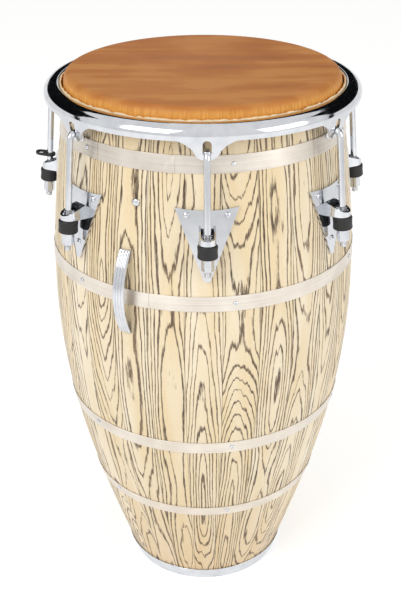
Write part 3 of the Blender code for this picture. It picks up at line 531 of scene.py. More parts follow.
@dataclass(frozen=True)
class MouldedRubber:
    """Moulded black rubber: almost no shine, with a fine mould grain and dusty patches."""

    black: str = "#090909"
    dusty: str = "#161514"
    grain_metres: float = 1.0 / 1200.0
    dust_metres: float = 1.0 / 110.0
    roughness: Pair = (0.42, 0.62)

    def build(self) -> bpy.types.Material:
        """Build the material.

        Returns:
            A matt black material.
        """
        material, tree = blank_material("moulded_rubber")
        place = wire(tree, "TexCoord").outputs["Object"]
        grain = wire(tree, "TexNoise", {"Vector": place, "Scale": 1.0 / self.grain_metres,
                                        "Detail": 3.0}).outputs[0]
        dust = wire(tree, "TexNoise", {"Vector": place, "Scale": 1.0 / self.dust_metres,
                                       "Detail": 4.0}).outputs[0]
        colour = wire(tree, "ValToRGB", {0: dust}, stops=((0.45, self.black), (0.80, self.dusty))).outputs[0]
        rough = wire(tree, "MapRange", {0: dust, 1: 0.3, 2: 0.7, 3: self.roughness[0],
                                        4: self.roughness[1]}).outputs[0]
        bump = wire(tree, "Bump", {"Height": grain, "Strength": 0.3, "Distance": 0.0002}).outputs[0]
        shader = wire(tree, "BsdfPrincipled",
                      {"Base Color": colour, "Roughness": rough, "Normal": bump, "IOR": 1.52})
        wire(tree, "OutputMaterial", {"Surface": shader.outputs[0]})
        return material


@dataclass
class Finishes:
    """One material for each finish of the drum, and one more for the threaded rods."""

    ash: bpy.types.Material = field(default_factory=lambda: SculptedAsh().build())
    hide: bpy.types.Material = field(default_factory=lambda: Rawhide().build())
    chrome: bpy.types.Material = field(default_factory=lambda: ChromePlate().build("buffed_chrome"))
    rod: bpy.types.Material = field(
        default_factory=lambda: ChromePlate(thread_pitch=0.0254 / 18).build("rod_chrome", 0.012))
    brushed: bpy.types.Material = field(default_factory=lambda: BrushedStrip().build())
    zinc: bpy.types.Material = field(default_factory=lambda: ZincPlate().build())
    rubber: bpy.types.Material = field(default_factory=lambda: MouldedRubber().build())


def skin(work: bmesh.types.BMesh, rows: list[list[bmesh.types.BMVert]], closed: bool, turned: bool) -> None:
    """Fill the faces between neighbouring rows of vertices.

    Args:
        work: The bmesh.
        rows: Rows of equally many vertices.
        closed: Whether the last vertex of a row joins the first.
        turned: Whether the last row joins the first. If not, closed rows are capped at both ends.
    """
    for here, there in zip(rows, rows[1:] + rows[:1] if turned else rows[1:]):
        for i in range(len(here) if closed else len(here) - 1):
            j = (i + 1) % len(here)
            work.faces.new((here[i], there[i], there[j], here[j]))
    if closed and not turned:
        work.faces.new(rows[0])
        work.faces.new(rows[-1])


def turned_mesh(name: str, profile: Profile, steps: int, closed: bool) -> bpy.types.Mesh:
    """Turn a profile about Z.

    Args:
        name: Name of the mesh.
        profile: Radius and height of each point.
        steps: Faces round the turn.
        closed: Whether the last point joins the first.

    Returns:
        The turned mesh, smooth but for its sharp edges.
    """
    work = bmesh.new()
    turns = [math.tau * step / steps for step in range(steps)]
    skin(work, [[work.verts.new((radius * math.cos(turn), radius * math.sin(turn), height))
                 for radius, height in profile] for turn in turns], closed, True)
    return finished_mesh(name, work)


def finished_mesh(name: str, work: bmesh.types.BMesh) -> bpy.types.Mesh:
    """Weld, orient and shade a bmesh.

    Args:
        name: Name of the mesh.
        work: The bmesh, which is freed.

    Returns:
        The mesh.
    """
    bmesh.ops.remove_doubles(work, verts=work.verts, dist=HAIR / 100)
    bmesh.ops.dissolve_degenerate(work, edges=work.edges, dist=HAIR / 100)
    bmesh.ops.recalc_face_normals(work, faces=work.faces)
    mesh = bpy.data.meshes.new(name)
    work.to_mesh(mesh)
    work.free()
    mesh.shade_smooth()
    mesh.set_sharp_from_angle(angle=SHARP_ANGLE)
    return mesh


def copies_mesh(name: str, source: bpy.types.Mesh, places: Sequence[Matrix]) -> bpy.types.Mesh:
    """Put copies of a mesh in several places, as one mesh.

    Args:
        name: Name of the new mesh.
        source: The mesh to copy, which is removed.
        places: Matrix of each copy.

    Returns:
        The new mesh.
    """
    work = bmesh.new()
    for place in places:
        copy = source.copy()
        copy.transform(place)
        work.from_mesh(copy)
        bpy.data.meshes.remove(copy)
    bpy.data.meshes.remove(source)
    return finished_mesh(name, work)


def arc(radius: float, centre: Pair, start: float, end: float, steps: int) -> Profile:
    """Points of an arc in a profile.

    Args:
        radius: Radius of the arc.
        centre: Radius and height of its centre.
        start: First angle in degrees.
        end: Last angle in degrees.
        steps: Chords of the arc.

    Returns:
        The points, both ends included.
    """
    turns = [math.radians(start + (end - start) * i / steps) for i in range(steps + 1)]
    return [(centre[0] + radius * math.cos(turn), centre[1] + radius * math.sin(turn)) for turn in turns]


def new_object(name: str, data: bpy.types.ID) -> bpy.types.Object:
    """Make an object and link it to the scene.

    Args:
        name: Name of the object.
        data: Its mesh, curve, lamp or camera.

    Returns:
        The object.
    """
    made = bpy.data.objects.new(name, data)
    bpy.context.scene.collection.objects.link(made)
    return made


def show_piece(name: str, data: bpy.types.ID, material: bpy.types.Material, body: str,
               stands_for: Sequence[str] = (), place: Matrix | None = None) -> bpy.types.Object:
    """Put a new piece in the scene on its CAD body.

    Args:
        name: Name of the piece.
        data: Its mesh or curve.
        material: Its finish.
        body: CAD body that it rides on.
        stands_for: CAD nodes that it is shown for.
        place: Its matrix in the drum's frame.

    Returns:
        The new object.
    """
    piece = new_object(name, data)
    if place is not None:
        piece.matrix_world = place
    data.materials.append(material)
    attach(piece, body)
    if stands_for:
        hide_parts(*stands_for)
    LOG.info("%s rides on %s", name, body)
    return piece


def soften_edges(piece: bpy.types.Object, width: float) -> None:
    """Round the sharp edges of a piece, as tumbling and plating do.

    Args:
        piece: The object to soften.
        width: Width of the rounding.
    """
    bevel = piece.modifiers.new("Soft edges", "BEVEL")
    bevel.width = width
    bevel.segments = 2
    bevel.limit_method = "ANGLE"
    bevel.angle_limit = SHARP_ANGLE
    bevel.harden_normals = True


def dress_node(node: bpy.types.Object, material: bpy.types.Material, edge: float) -> None:
    """Give a carried-over CAD node its finish, smooth shading and soft edges.

    Args:
        node: The CAD object, which keeps its place and its vertices.
        material: Its finish.
        edge: Width of its rounded edges.
    """
    mesh = node.data
    if "custom_normal" in mesh.attributes:
        mesh.attributes.remove(mesh.attributes["custom_normal"])
    mesh.materials.clear()
    mesh.materials.append(material)
    mesh.shade_smooth()
    weld = node.modifiers.new("Weld", "WELD")
    weld.merge_threshold = HAIR / 5
    if edge:
        soften_edges(node, edge)
    LOG.info("%s is dressed", node.name)


@dataclass
class DrumForm:
    """Sizes that every sub-assembly shares, the same as in the part."""

    height: float
    lug_count: int = 7
    foot_radius: float = 0.1050
    belly_radius: float = 0.1940
    belly_height: float = 0.4300
    top_radius: float = 0.1646
    wall: float = 0.0095
    skin: float = 0.0020
    gap: float = 0.0003
    bearing_round: float = 0.0070
    rod_radius: float = 0.00397
    rod_lean: float = math.radians(5.6)
    bend_radius: float = 0.0080
    hook_top: float = 0.6738
    bend_rod_radius: float = 0.1952
    rod_foot: float = 0.5290
    hoop_wire: float = 0.0040
    hoop_height: float = 0.6866
    sleeve_base: float = 0.5680

    @property
    def shell_top(self) -> float:
        """Height of the wood's top."""
        return self.height - self.skin - self.gap

    @property
    def bend_height(self) -> float:
        """Height at which a rod's bend begins."""
        return self.hook_top - self.rod_radius - self.bend_radius

    def shell_radius(self, height: float) -> float:
        """Find the outer radius of the wood.

        Args:
            height: Height above the floor.

        Returns:
            The radius there.
        """
        if height < self.belly_height:
            share = math.sin(0.5 * math.pi * height / self.belly_height)
            return self.foot_radius + (self.belly_radius - self.foot_radius) * share
        share = math.cos(0.5 * math.pi * (height - self.belly_height) / (self.shell_top - self.belly_height))
        return self.top_radius + (self.belly_radius - self.top_radius) * share

    def rod_reach(self, height: float) -> float:
        """Distance of a rod's centre line from the drum's axis."""
        return self.bend_rod_radius + (self.bend_height - height) * math.tan(self.rod_lean)

    def along_rod(self, height: float) -> float:
        """Distance up the rod from the sleeve's base to a height."""
        return (height - self.sleeve_base) / math.cos(self.rod_lean)

    def turn_to(self, azimuth: float) -> Matrix:
        """Rotation that takes +X to an azimuth."""
        return Matrix.Rotation(math.radians(azimuth - 90.0), 4, "Z")

    def lug_azimuth(self, number: int) -> float:
        """Azimuth of a lug, counted from 1."""
        return (number - 1) * 360.0 / self.lug_count

    def rod_frame(self, azimuth: float) -> Matrix:
        """Frame of a tuning rod: origin at the sleeve's base, Z up along the rod."""
        origin = Matrix.Translation((self.rod_reach(self.sleeve_base), 0.0, self.sleeve_base))
        return self.turn_to(azimuth) @ origin @ Matrix.Rotation(-self.rod_lean, 4, "Y")

    def surface_frame(self, azimuth: float, height: float, rise: float) -> Matrix:
        """Frame on the shell, with Z along its outward normal.

        Args:
            azimuth: Azimuth of the point.
            height: Height of the point.
            rise: Distance of the frame's origin outside the wood.

        Returns:
            The frame.
        """
        step = 0.002
        slope = (self.shell_radius(height + step) - self.shell_radius(height - step)) / (2 * step)
        tilt = Matrix.Rotation(math.radians(90.0) - math.atan(-slope), 4, "Y")
        origin = Matrix.Translation((self.shell_radius(height) + rise, 0.0, height))
        return self.turn_to(azimuth) @ origin @ tilt


@dataclass
class StaveShell:
    """The ash body with its rounded bearing edge."""

    form: DrumForm
    finishes: Finishes
    bottom: float = 0.0018
    stations: int = 60
    edge_steps: int = 8
    steps: int = 216

    def profile(self) -> Profile:
        """Draw the section of the wall.

        Returns:
            Its points, down the outside and up the inside.
        """
        shoulder = self.form.shell_top - self.form.bearing_round
        centre = (self.form.shell_radius(shoulder) - self.form.bearing_round, shoulder)
        heights = [self.bottom + (shoulder - self.bottom) * i / self.stations
                   for i in range(self.stations)]
        outer = [(self.form.shell_radius(height), height) for height in heights]
        inner = [(radius - self.form.wall, height) for radius, height in outer]
        inner.append((self.form.shell_radius(shoulder) - self.form.wall, shoulder))
        return arc(self.form.bearing_round, centre, 90.0, 0.0, self.edge_steps) + outer[::-1] + inner

    def build(self) -> None:
        """Make the shell."""
        mesh = turned_mesh("ash_shell", self.profile(), self.steps, True)
        show_piece("ash_shell", mesh, self.finishes.ash, "drum", ("shell",))


@dataclass
class HideHead:
    """The hide, from its face over the bearing edge to the frayed hem round the flesh hoop."""

    form: DrumForm
    finishes: Finishes
    crown_round: float = 0.0095
    face_rings: tuple[float, ...] = (0.0, 0.15, 0.3, 0.45, 0.6, 0.75, 0.87, 0.95)
    wrap_start: float = -178.0
    wrap_end: float = 60.0
    skirt_start: float = -140.0
    hem: float = 0.0070
    hem_share: float = 0.6
    fray: float = 0.0024
    fray_scale: float = 160.0
    sag: float = 0.0005
    steps: int = 216

    def profile(self) -> Profile:
        """Draw the section of the hide.

        Returns:
            Its points, from the middle of the face to the hem and back under it.
        """
        form = self.form
        shoulder = form.shell_top - form.bearing_round
        crown = form.shell_radius(shoulder) + form.gap + form.skin - self.crown_round
        hoop = (form.shell_radius(form.hoop_height) + 2 * form.gap + form.skin + form.hoop_wire,
                form.hoop_height)
        near = form.hoop_wire + form.gap
        far = near + form.skin
        bend = (crown, form.height - self.crown_round)
        hem_radius = hoop[0] - form.hoop_wire / 2
        hem_foot = form.hoop_height + far
        hem_top = hem_foot + self.hem
        profile = [(crown * share, form.height) for share in self.face_rings]
        profile += arc(self.crown_round, bend, 90.0, 0.0, 10)
        profile += arc(near, hoop, self.wrap_start, self.wrap_end, 14)
        profile += [(hem_radius - form.skin * self.hem_share, hem_foot), (hem_radius - form.skin, hem_top),
                    (hem_radius, hem_top), (hem_radius, hem_foot)]
        profile += arc(far, hoop, self.wrap_end, self.skirt_start, 12)
        profile += [(form.shell_radius(form.hoop_height) + form.gap, form.hoop_height)]
        profile += arc(self.crown_round - form.skin, bend, 0.0, 90.0, 8)
        return profile + [(0.0, form.height - form.skin)]

    def build(self) -> None:
        """Make the hide, with a slight dip in its face and a frayed hem."""
        mesh = turned_mesh("rawhide_head", self.profile(), self.steps, False)
        form = self.form
        hem_foot = form.hoop_height + form.hoop_wire + form.gap + form.skin
        hem_start = form.shell_radius(form.hoop_height) + form.skin + 2 * form.gap
        for vertex in mesh.vertices:
            reach = math.hypot(vertex.co.x, vertex.co.y)
            if reach > hem_start and vertex.co.z > hem_foot + self.hem / 2:
                frayed = noise.noise(Vector((vertex.co.x, vertex.co.y, 0.0)) * self.fray_scale)
                vertex.co.z += self.fray * frayed - self.fray / 2
            elif reach < form.top_radius and vertex.co.z > form.height - form.skin / 2:
                vertex.co.z -= self.sag * (1.0 - (reach / form.top_radius) ** 2)
        show_piece("rawhide_head", mesh, self.finishes.hide, "drum", ("head_skin",))


@dataclass
class TuningRim:
    """The rolled rim: a lip on the hide, a round roll, and a skirt cut into slotted ears."""

    form: DrumForm
    finishes: Finishes
    sheet: float = 0.0030
    inner_radius: float = 0.1736
    below_crown: float = 0.0123
    roll_width: float = 0.0195
    roll_drop: float = 0.0120
    skirt_bottom: float = 0.6820
    ear_bottom: float = 0.6600
    ear_radius: float = 0.1886
    ear_top_half: float = 0.0310
    ear_neck_half: float = 0.0135
    ear_neck: float = 0.0060
    ear_foot_half: float = 0.0070
    slot_width: float = 0.0099
    slot_length: float = 0.0190
    slot_seat: float = 0.50
    edge_round: float = 0.0005
    columns_per_lug: int = 56
    rows: int = 5

    def edge_height(self, distance: float) -> float:
        """Height of the skirt's lower edge.

        Args:
            distance: Distance along the rim from the middle of the nearest ear.

        Returns:
            The height of the edge there.
        """
        if distance < self.ear_foot_half:
            return self.ear_bottom
        neck_height = self.ear_bottom + self.ear_neck
        if distance < self.ear_neck_half:
            share = (distance - self.ear_foot_half) / (self.ear_neck_half - self.ear_foot_half)
            return self.ear_bottom + self.ear_neck * share
        share = min(1.0, (distance - self.ear_neck_half) / (self.ear_top_half - self.ear_neck_half))
        return neck_height + (self.skirt_bottom - neck_height) * math.sqrt(share)

    def section(self, edge: float) -> Profile:
        """Closed section of the rim, whose skirt ends at a height.

        Args:
            edge: Height of the skirt's lower edge.

        Returns:
            Radius and height of each point.
        """
        top = self.form.height - self.below_crown
        outer_radius = self.inner_radius + self.roll_width
        centre = (outer_radius - self.roll_drop, top - self.roll_drop)
        outer = arc(self.roll_drop, centre, 90.0, 0.0, 12)
        inner = arc(self.roll_drop - self.sheet, centre, 0.0, 90.0, 8)
        share = (centre[1] - edge) / (centre[1] - self.ear_bottom)
        foot = outer_radius + (self.ear_radius - outer_radius) * share
        down = [(outer_radius + (foot - outer_radius) * i / self.rows,
                 centre[1] + (edge - centre[1]) * i / self.rows) for i in range(1, self.rows + 1)]
        up = [(radius - self.sheet, height) for radius, height in down[::-1]]
        lip_foot = self.form.hoop_height + self.form.hoop_wire + 2 * self.form.gap + self.form.skin
        bead = arc(self.sheet / 2, (self.inner_radius + self.sheet / 2, lip_foot + self.sheet / 2),
                   0.0, -180.0, 6)
        corner = arc(self.sheet, (self.inner_radius + self.sheet, top - self.sheet), 180.0, 90.0, 6)
        under_lip = [(self.inner_radius + self.sheet, top - self.sheet)]
        return outer + down + up + inner + under_lip + bead + corner

    def slot_mesh(self) -> bpy.types.Mesh:
        """Make a prism with round ends, which cuts the slot of the ear facing +X.

        Returns:
            The prism.
        """
        low = self.form.bend_height + self.slot_seat * (self.form.bend_radius - self.form.rod_radius)
        foot = low + self.slot_width / 2
        head = low + self.slot_length - self.slot_width / 2
        outline = arc(self.slot_width / 2, (0.0, head), 0.0, 180.0, 10)
        outline += arc(self.slot_width / 2, (0.0, foot), 180.0, 360.0, 10)
        work = bmesh.new()
        ends = [[work.verts.new((reach, across, height)) for across, height in outline]
                for reach in (self.ear_radius - 4 * self.sheet, self.ear_radius + 4 * self.sheet)]
        skin(work, ends, True, False)
        return finished_mesh("rim_slot", work)

    def build(self) -> None:
        """Make the rim column by column, then cut its slots."""
        work = bmesh.new()
        rings = []
        for column in range(self.form.lug_count * self.columns_per_lug):
            share = column / self.columns_per_lug
            nearest = abs(share - round(share)) * math.tau / self.form.lug_count
            turn = self.form.turn_to(share * 360.0 / self.form.lug_count)
            points = self.section(self.edge_height(nearest * self.ear_radius))
            rings.append([work.verts.new(turn @ Vector((radius, 0.0, height))) for radius, height in points])
        skin(work, rings, True, True)
        mesh = finished_mesh("rolled_rim", work)
        turns = [self.form.turn_to(self.form.lug_azimuth(n)) for n in range(1, self.form.lug_count + 1)]
        slots = new_object("rim_slots", copies_mesh("rim_slots", self.slot_mesh(), turns))
        rim = show_piece("rolled_rim", mesh, self.finishes.chrome, "rim", ("rim",))
        cut = rim.modifiers.new("Slots", "BOOLEAN")
        cut.operation = "DIFFERENCE"
        cut.solver = "EXACT"
        cut.object = slots
        bake_modifiers(rim)
        bpy.data.objects.remove(slots, do_unlink=True)
        soften_edges(rim, self.edge_round)


def bake_modifiers(piece: bpy.types.Object) -> None:
    """Turn a piece's modifiers into plain mesh.

    Args:
        piece: The object, which keeps its materials.
    """
    bpy.context.view_layer.update()
    evaluated = piece.evaluated_get(bpy.context.evaluated_depsgraph_get())
    mesh = bpy.data.meshes.new_from_object(evaluated)
    piece.modifiers.clear()
    piece.data = mesh
    mesh.shade_smooth()
    mesh.set_sharp_from_angle(angle=SHARP_ANGLE)


def screw_head_mesh(name: str, radius: float, rise: float) -> bpy.types.Mesh:
    """Pan head with a driver recess, seated on Z = 0.

    Args:
        name: Name of the mesh.
        radius: Radius of the head.
        rise: Height of the head.

    Returns:
        The mesh.
    """
    crown = [(radius * math.cos(math.radians(a)), rise * math.sin(math.radians(a)) ** CROWN_FLATNESS)
             for a in CROWN_ANGLES]
    recess = [(radius * reach, rise * height) for reach, height in RECESS_SHARES]
    return turned_mesh(name, [(0.0, -HAIR), (radius, -HAIR)] + crown + recess, SCREW_SIDES, False)


@dataclass
class LugSet:
    """One tuning lug: the hook, its rubber cushion, the casting, its screws, and the nut."""

    form: DrumForm
    finishes: Finishes
    nodes: dict[str, bpy.types.Object]
    number: int
    cushion_radius: float = 0.0116
    cushion_length: float = 0.0160
    cushion_edge: float = 0.0022
    cushion_bore: float = 0.0093
    cushion_mouth: float = 0.0080
    cushion_waist: float = 0.0004
    tip_length: float = 0.0030
    plate_rise: float = 0.0033
    foot_round: tuple[Pair, ...] = ((0.0, 0.45), (0.0006, 0.80), (0.0018, 1.0))
    tip_round: tuple[Pair, ...] = ((0.7, 1.0), (1.0, 0.75))
    screw_radius: float = 0.0036
    screw_rise: float = 0.0021
    screw_spots: tuple[Pair, ...] = ((-7.1, 0.5945), (7.1, 0.5945), (0.0, 0.5365))

    @property
    def azimuth(self) -> float:
        """Azimuth of this lug."""
        return self.form.lug_azimuth(self.number)

    def hook_curve(self) -> bpy.types.Curve:
        """Draw the bent rod in its own frame, rounded off at its foot and its tip.

        Returns:
            A curve with the rod's thickness.
        """
        form = self.form
        top = form.along_rod(form.bend_height)
        foot = form.along_rod(form.rod_foot)
        points = [(0.0, foot + rise, share) for rise, share in self.foot_round] + [(0.0, 0.0, 1.0)]
        bend = arc(form.bend_radius, (-form.bend_radius, top), 0.0, 180.0, 20)
        points += [(reach, rise, 1.0) for reach, rise in bend]
        points += [(-2 * form.bend_radius, top - drop * self.tip_length, share)
                   for drop, share in self.tip_round]
        curve = bpy.data.curves.new(f"bent_hook_{self.number}", "CURVE")
        curve.dimensions = "3D"
        curve.bevel_depth = form.rod_radius
        curve.bevel_resolution = 6
        curve.use_fill_caps = True
        spline = curve.splines.new("POLY")
        spline.points.add(len(points) - 1)
        for point, (reach, rise, share) in zip(spline.points, points):
            point.co = (reach, 0.0, rise, 1.0)
            point.radius = share
        return curve

    def cushion_mesh(self) -> bpy.types.Mesh:
        """Make the rubber cup under the sleeve, with round edges and a shallow waist.

        Returns:
            The mesh, in the rod's frame.
        """
        top = -self.form.gap
        bottom = top - self.cushion_length
        edge = self.cushion_edge
        radius = self.cushion_radius
        profile = arc(edge, (radius - edge, top - edge), 90.0, 0.0, 6)
        profile += [(radius - self.cushion_waist, (top + bottom) / 2)]
        profile += arc(edge, (radius - edge, bottom + edge), 0.0, -90.0, 6)
        profile += [(self.cushion_mouth, bottom), (self.cushion_mouth, bottom + edge),
                    (self.cushion_bore, bottom + edge), (self.cushion_bore, top)]
        return turned_mesh(f"rubber_cushion_{self.number}", profile, 40, True)

    def build(self) -> None:
        """Make the lug's new pieces and dress its CAD nodes."""
        frame = self.form.rod_frame(self.azimuth)
        show_piece(f"bent_hook_{self.number}", self.hook_curve(), self.finishes.rod, f"hook_{self.number}",
                   (f"tuning_hook_{self.number}",), frame)
        show_piece(f"rubber_cushion_{self.number}", self.cushion_mesh(), self.finishes.rubber, "drum",
                   (f"cushion_{self.number}",), frame)
        head = screw_head_mesh("screw_head", self.screw_radius, self.screw_rise)
        places = [self.form.surface_frame(self.azimuth + offset, height, self.plate_rise)
                  for offset, height in self.screw_spots]
        screws = copies_mesh(f"plate_screws_{self.number}", head, places)
        show_piece(f"plate_screws_{self.number}", screws, self.finishes.chrome, "drum")
        for node, finish, edge in (("lug_plate", self.finishes.chrome, 0.0006),
                                   ("tuning_nut", self.finishes.chrome, 0.0005),
                                   ("tuning_washer", self.finishes.zinc, 0.0002),
                                   ("lug_backing", self.finishes.zinc, 0.0003)):
            dress_node(self.nodes[f"{node}_{self.number}"], finish, edge)


@dataclass
class SteelBands:
    """The four stave bands, with the screws and lap joints along them."""

    form: DrumForm
    finishes: Finishes
    nodes: dict[str, bpy.types.Object]
    thickness: float = 0.0009
    edge_round: float = 0.0003
    lap_half: float = 1.9
    lap_rise: float = 0.6
    lap_steps: int = 8
    screw_radius: float = 0.0027
    screw_rise: float = 0.0014
    screw_count: int = 6
    first_screw: float = 9.7
    laps: tuple[tuple[int, float], ...] = ((1, -46.0), (1, -13.4), (1, 46.4), (2, -22.3), (3, 150.0),
                                           (4, 150.0))

    def lap_mesh(self, name: str, azimuth: float, low: float, high: float) -> bpy.types.Mesh:
        """Short curved plate that laps over a band.

        Args:
            name: Name of the mesh.
            azimuth: Azimuth of its middle.
            low: Height of the band's lower edge.
            high: Height of its upper edge.

        Returns:
            The mesh.
        """
        work = bmesh.new()
        inset = 2 * HAIR
        rows = []
        lap_top = self.thickness * self.lap_rise
        for i in range(self.lap_steps + 1):
            turn = self.form.turn_to(azimuth + self.lap_half * (2 * i / self.lap_steps - 1.0))
            row = []
            for height, rise in ((low + inset, 0.0), (low + inset, lap_top),
                                 (high - inset, lap_top), (high - inset, 0.0)):
                reach = self.form.shell_radius(height) + self.form.gap + self.thickness + rise - HAIR / 2
                row.append(work.verts.new(turn @ Vector((reach, 0.0, height))))
            rows.append(row)
        skin(work, rows, True, False)
        return finished_mesh(name, work)

    def build(self) -> None:
        """Dress the bands and add their laps and screws."""
        for number in range(1, 5):
            node = f"stave_band_{number}"
            low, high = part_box(node)
            dress_node(self.nodes[node], self.finishes.brushed, self.edge_round)
            middle = (low.z + high.z) / 2
            head = screw_head_mesh("band_screw", self.screw_radius, self.screw_rise)
            rise = self.form.gap + self.thickness
            places = [self.form.surface_frame(self.first_screw + 360.0 * i / self.screw_count, middle, rise)
                      for i in range(self.screw_count)]
            screws = copies_mesh(f"band_screws_{number}", head, places)
            show_piece(f"band_screws_{number}", screws, self.finishes.chrome, "drum")
            for order, azimuth in enumerate(a for band, a in self.laps if band == number):
                name = f"band_{number}_lap_{order + 1}"
                lap = self.lap_mesh(name, azimuth, low.z, high.z)
                show_piece(name, lap, self.finishes.brushed, "drum")


@dataclass
class StrapHandle:
    """The ribbed strap handle, bowed out from the shell."""

    form: DrumForm
    finishes: Finishes
    azimuth: float = -29.3
    top: float = 0.5460
    bottom: float = 0.4410
    width: float = 0.0150
    thickness: float = 0.0040
    standoff: float = 0.0200
    bow: float = 0.8
    pad_length: float = 0.0150
    rib_height: float = 0.0009
    side_fall: float = 0.0012
    side_power: int = 6
    edge_round: float = 0.0004
    ribs: int = 4
    stations: int = 48
    across: int = 32

    def offset(self, share: float) -> float:
        """Find how far the strap stands out.

        Args:
            share: Share of the strap's length, from its lower end.

        Returns:
            Distance of its outer face from the wood.
        """
        rest = self.thickness + self.form.gap
        return rest + (self.standoff - rest) * math.sin(math.pi * share) ** self.bow

    def build(self) -> None:
        """Make the strap with its round ribs and solid feet."""
        work = bmesh.new()
        rows = []
        for i in range(self.stations + 1):
            share = i / self.stations
            height = self.bottom + (self.top - self.bottom) * share
            wood = self.form.shell_radius(height)
            base = wood + self.offset(share)
            row = []
            for j in range(self.across + 1):
                side = j / self.across
                rib = 0.5 - 0.5 * math.cos(math.tau * self.ribs * side)
                fall = self.side_fall * abs(2.0 * side - 1.0) ** self.side_power
                row.append(work.verts.new((base - self.rib_height * (1.0 - rib) - fall,
                                           self.width * (side - 0.5), height)))
            on_foot = height < self.bottom + self.pad_length or height > self.top - self.pad_length
            under = wood + self.form.gap if on_foot else base - self.thickness
            row += [work.verts.new((under, across, height)) for across in (self.width / 2, -self.width / 2)]
            rows.append(row)
        skin(work, rows, True, False)
        mesh = finished_mesh("ribbed_handle", work)
        strap = show_piece("ribbed_handle", mesh, self.finishes.chrome, "drum", ("handle",),
                           self.form.turn_to(self.azimuth))
        soften_edges(strap, self.edge_round)


@dataclass
class SmallParts:
    """CAD nodes that only need their finish."""

    finishes: Finishes
    nodes: dict[str, bpy.types.Object]

    def build(self) -> None:
        """Dress the base rim, the flesh hoop, the handle's bolts, the stud and the wrench holder."""
        for node, finish, edge in (("base_rim", self.finishes.chrome, 0.0006),
                                   ("flesh_hoop", self.finishes.zinc, 0.0),
                                   ("handle_bolt_lower", self.finishes.zinc, 0.0003),
                                   ("handle_bolt_upper", self.finishes.zinc, 0.0003),
                                   ("stud", self.finishes.chrome, 0.0),
                                   ("wrench_holder", self.finishes.rubber, 0.0004)):
            dress_node(self.nodes[node], finish, edge)


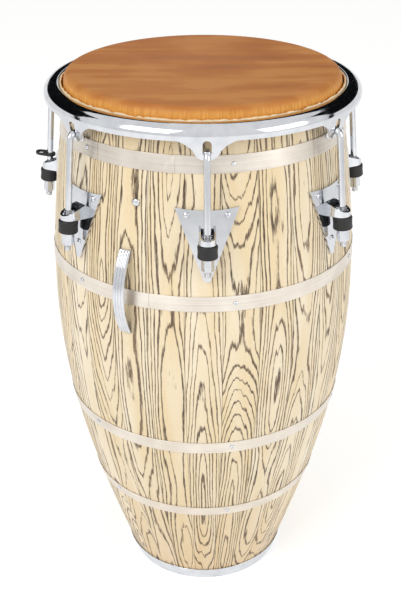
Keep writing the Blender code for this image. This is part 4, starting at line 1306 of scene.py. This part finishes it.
@dataclass
class Studio:
    """Pale floor, soft lamps, dark cards for the metal to mirror, and the camera.

    A lamp has a place, a width and a power.  A card is a curved strip between two azimuths, and
    between two angles over the level of card_eye, as seen from the drum's axis.
    """

    floor_radius: float = 14.0
    floor_drop: float = 0.0002
    floor_colour: str = "#F4F4F3"
    floor_lift: float = 0.30
    fibre_metres: float = 1.0 / 400.0
    sky_light: float = 0.72
    card_colour: str = "#101112"
    card_reach: float = 3.0
    card_eye: float = 0.7
    card_bays: int = 16
    cards: tuple[tuple[str, float, float, float, float], ...] = (
        ("card_left", 95.0, 176.0, 8.0, 42.0), ("card_right", 184.0, 265.0, 8.0, 42.0),
        ("card_back", 150.0, 210.0, 27.0, 36.0), ("card_side_left", 262.0, 268.0, -20.0, 8.0),
        ("card_side_right", 92.0, 98.0, -20.0, 8.0))
    lamps: tuple[tuple[str, Triple, float, float], ...] = (
        ("key_box", (-1.5, -1.7, 2.1), 1.6, 30.0), ("fill_box", (1.9, -1.3, 1.3), 1.4, 14.0))
    lamp_aim: Triple = (0.0, 0.0, 0.4)
    camera_place: Triple = (-0.02865, -1.26268, 1.0510)
    camera_tilt: float = 62.091
    camera_turn: float = -1.3
    camera_roll: float = -0.24
    lens: float = 61.84
    sensor: float = 36.0
    shift: float = -0.0052

    def build(self) -> None:
        """Set up everything round the drum."""
        bpy.context.scene.view_settings.view_transform = "Standard"
        self.make_world()
        self.make_floor()
        self.make_lamps()
        self.make_cards()
        self.make_camera()

    def make_world(self) -> None:
        """Light from all round, which the camera and the metal see as white."""
        world = bpy.data.worlds.new("white_studio")
        world.use_nodes = True
        tree = world.node_tree
        tree.nodes.clear()
        path = wire(tree, "LightPath")
        seen = wire(tree, "Math", {0: path.outputs["Is Camera Ray"],
                                   1: path.outputs["Is Glossy Ray"]}, operation="MAXIMUM")
        shown = wire(tree, "Math", {0: seen.outputs[0], 1: path.outputs["Is Transmission Ray"]},
                     operation="MAXIMUM")
        strength = wire(tree, "MapRange", {0: shown.outputs[0], 1: 0.0, 2: 1.0, 3: self.sky_light, 4: 1.0})
        sky = wire(tree, "Background", {"Color": WHITE, "Strength": strength.outputs[0]})
        wire(tree, "OutputWorld", {"Surface": sky.outputs[0]})
        bpy.context.scene.world = world

    def make_floor(self) -> None:
        """Round floor that looks white and keeps the drum's shadow."""
        material, tree = blank_material("paper_floor")
        path = wire(tree, "LightPath")
        place = wire(tree, "TexCoord").outputs["Object"]
        fibres = wire(tree, "TexNoise", {"Vector": place, "Scale": 1.0 / self.fibre_metres,
                                         "Detail": 2.0}).outputs[0]
        bump = wire(tree, "Bump", {"Height": fibres, "Strength": 0.05, "Distance": 0.0002})
        paper = wire(tree, "BsdfDiffuse", {"Color": linear(self.floor_colour), "Normal": bump.outputs[0]})
        seen = wire(tree, "Math", {0: path.outputs["Is Camera Ray"],
                                   1: path.outputs["Is Glossy Ray"]}, operation="MAXIMUM")
        lift = wire(tree, "Math", {0: seen.outputs[0], 1: self.floor_lift}, operation="MULTIPLY")
        glow = wire(tree, "Emission", {"Color": WHITE, "Strength": lift.outputs[0]})
        both = wire(tree, "AddShader", {0: paper.outputs[0], 1: glow.outputs[0]})
        wire(tree, "OutputMaterial", {"Surface": both.outputs[0]})
        work = bmesh.new()
        bmesh.ops.create_circle(work, cap_ends=True, segments=96, radius=self.floor_radius)
        floor = new_object("paper_floor", finished_mesh("paper_floor", work))
        floor.location.z = -self.floor_drop
        floor.data.materials.append(material)

    def make_lamps(self) -> None:
        """Two large soft boxes: a key from the front left and a fill from the front right."""
        for name, place, size, power in self.lamps:
            lamp = bpy.data.lights.new(name, "AREA")
            lamp.shape = "SQUARE"
            lamp.size = size
            lamp.energy = power
            box = new_object(name, lamp)
            box.location = place
            box.rotation_euler = (Vector(place) - Vector(self.lamp_aim)).to_track_quat("Z", "Y").to_euler()

    def make_cards(self) -> None:
        """Curved dark cards, unseen by the camera, which only glossy surfaces mirror."""
        material, tree = blank_material("black_card")
        dark = wire(tree, "Emission", {"Color": linear(self.card_colour), "Strength": 1.0})
        wire(tree, "OutputMaterial", {"Surface": dark.outputs[0]})
        for name, start, end, low, high in self.cards:
            work = bmesh.new()
            posts = []
            for i in range(self.card_bays + 1):
                turn = math.radians(start + (end - start) * i / self.card_bays)
                foot = Vector((math.sin(turn), -math.cos(turn), 0.0)) * self.card_reach
                heights = [self.card_eye + self.card_reach * math.tan(math.radians(rise))
                           for rise in (low, high)]
                posts.append([work.verts.new(foot + Vector((0.0, 0.0, height))) for height in heights])
            skin(work, posts, False, False)
            card = new_object(name, finished_mesh(name, work))
            card.data.materials.append(material)
            card.visible_camera = False
            card.visible_diffuse = False
            card.visible_shadow = False

    def make_camera(self) -> None:
        """Camera at the photograph's place and angle."""
        data = bpy.data.cameras.new("front_camera")
        data.lens = self.lens
        data.sensor_width = self.sensor
        data.shift_x = self.shift
        camera = new_object("front_camera", data)
        turn = Matrix.Rotation(math.radians(self.camera_turn), 4, "Z")
        tilt = Matrix.Rotation(math.radians(self.camera_tilt), 4, "X")
        roll = Matrix.Rotation(math.radians(self.camera_roll), 4, "Z")
        camera.matrix_world = Matrix.Translation(self.camera_place) @ turn @ tilt @ roll
        bpy.context.scene.camera = camera


def clear_scene() -> None:
    """Remove the objects that Blender starts with."""
    for old in list(bpy.data.objects):
        bpy.data.objects.remove(old, do_unlink=True)


def main() -> None:
    """Load the frame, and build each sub-assembly in order."""
    logging.basicConfig(level=logging.INFO, format="%(name)s: %(message)s")
    clear_scene()
    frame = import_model()
    nodes = frame["nodes"]
    form = DrumForm(height=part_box("head_skin")[1].z)
    finishes = Finishes()
    StaveShell(form, finishes).build()
    SteelBands(form, finishes, nodes).build()
    HideHead(form, finishes).build()
    TuningRim(form, finishes).build()
    for number in range(1, form.lug_count + 1):
        LugSet(form, finishes, nodes, number).build()
    StrapHandle(form, finishes).build()
    SmallParts(finishes, nodes).build()
    Studio().build()
    bpy.context.view_layer.update()


if __name__ == "__main__":
    main()
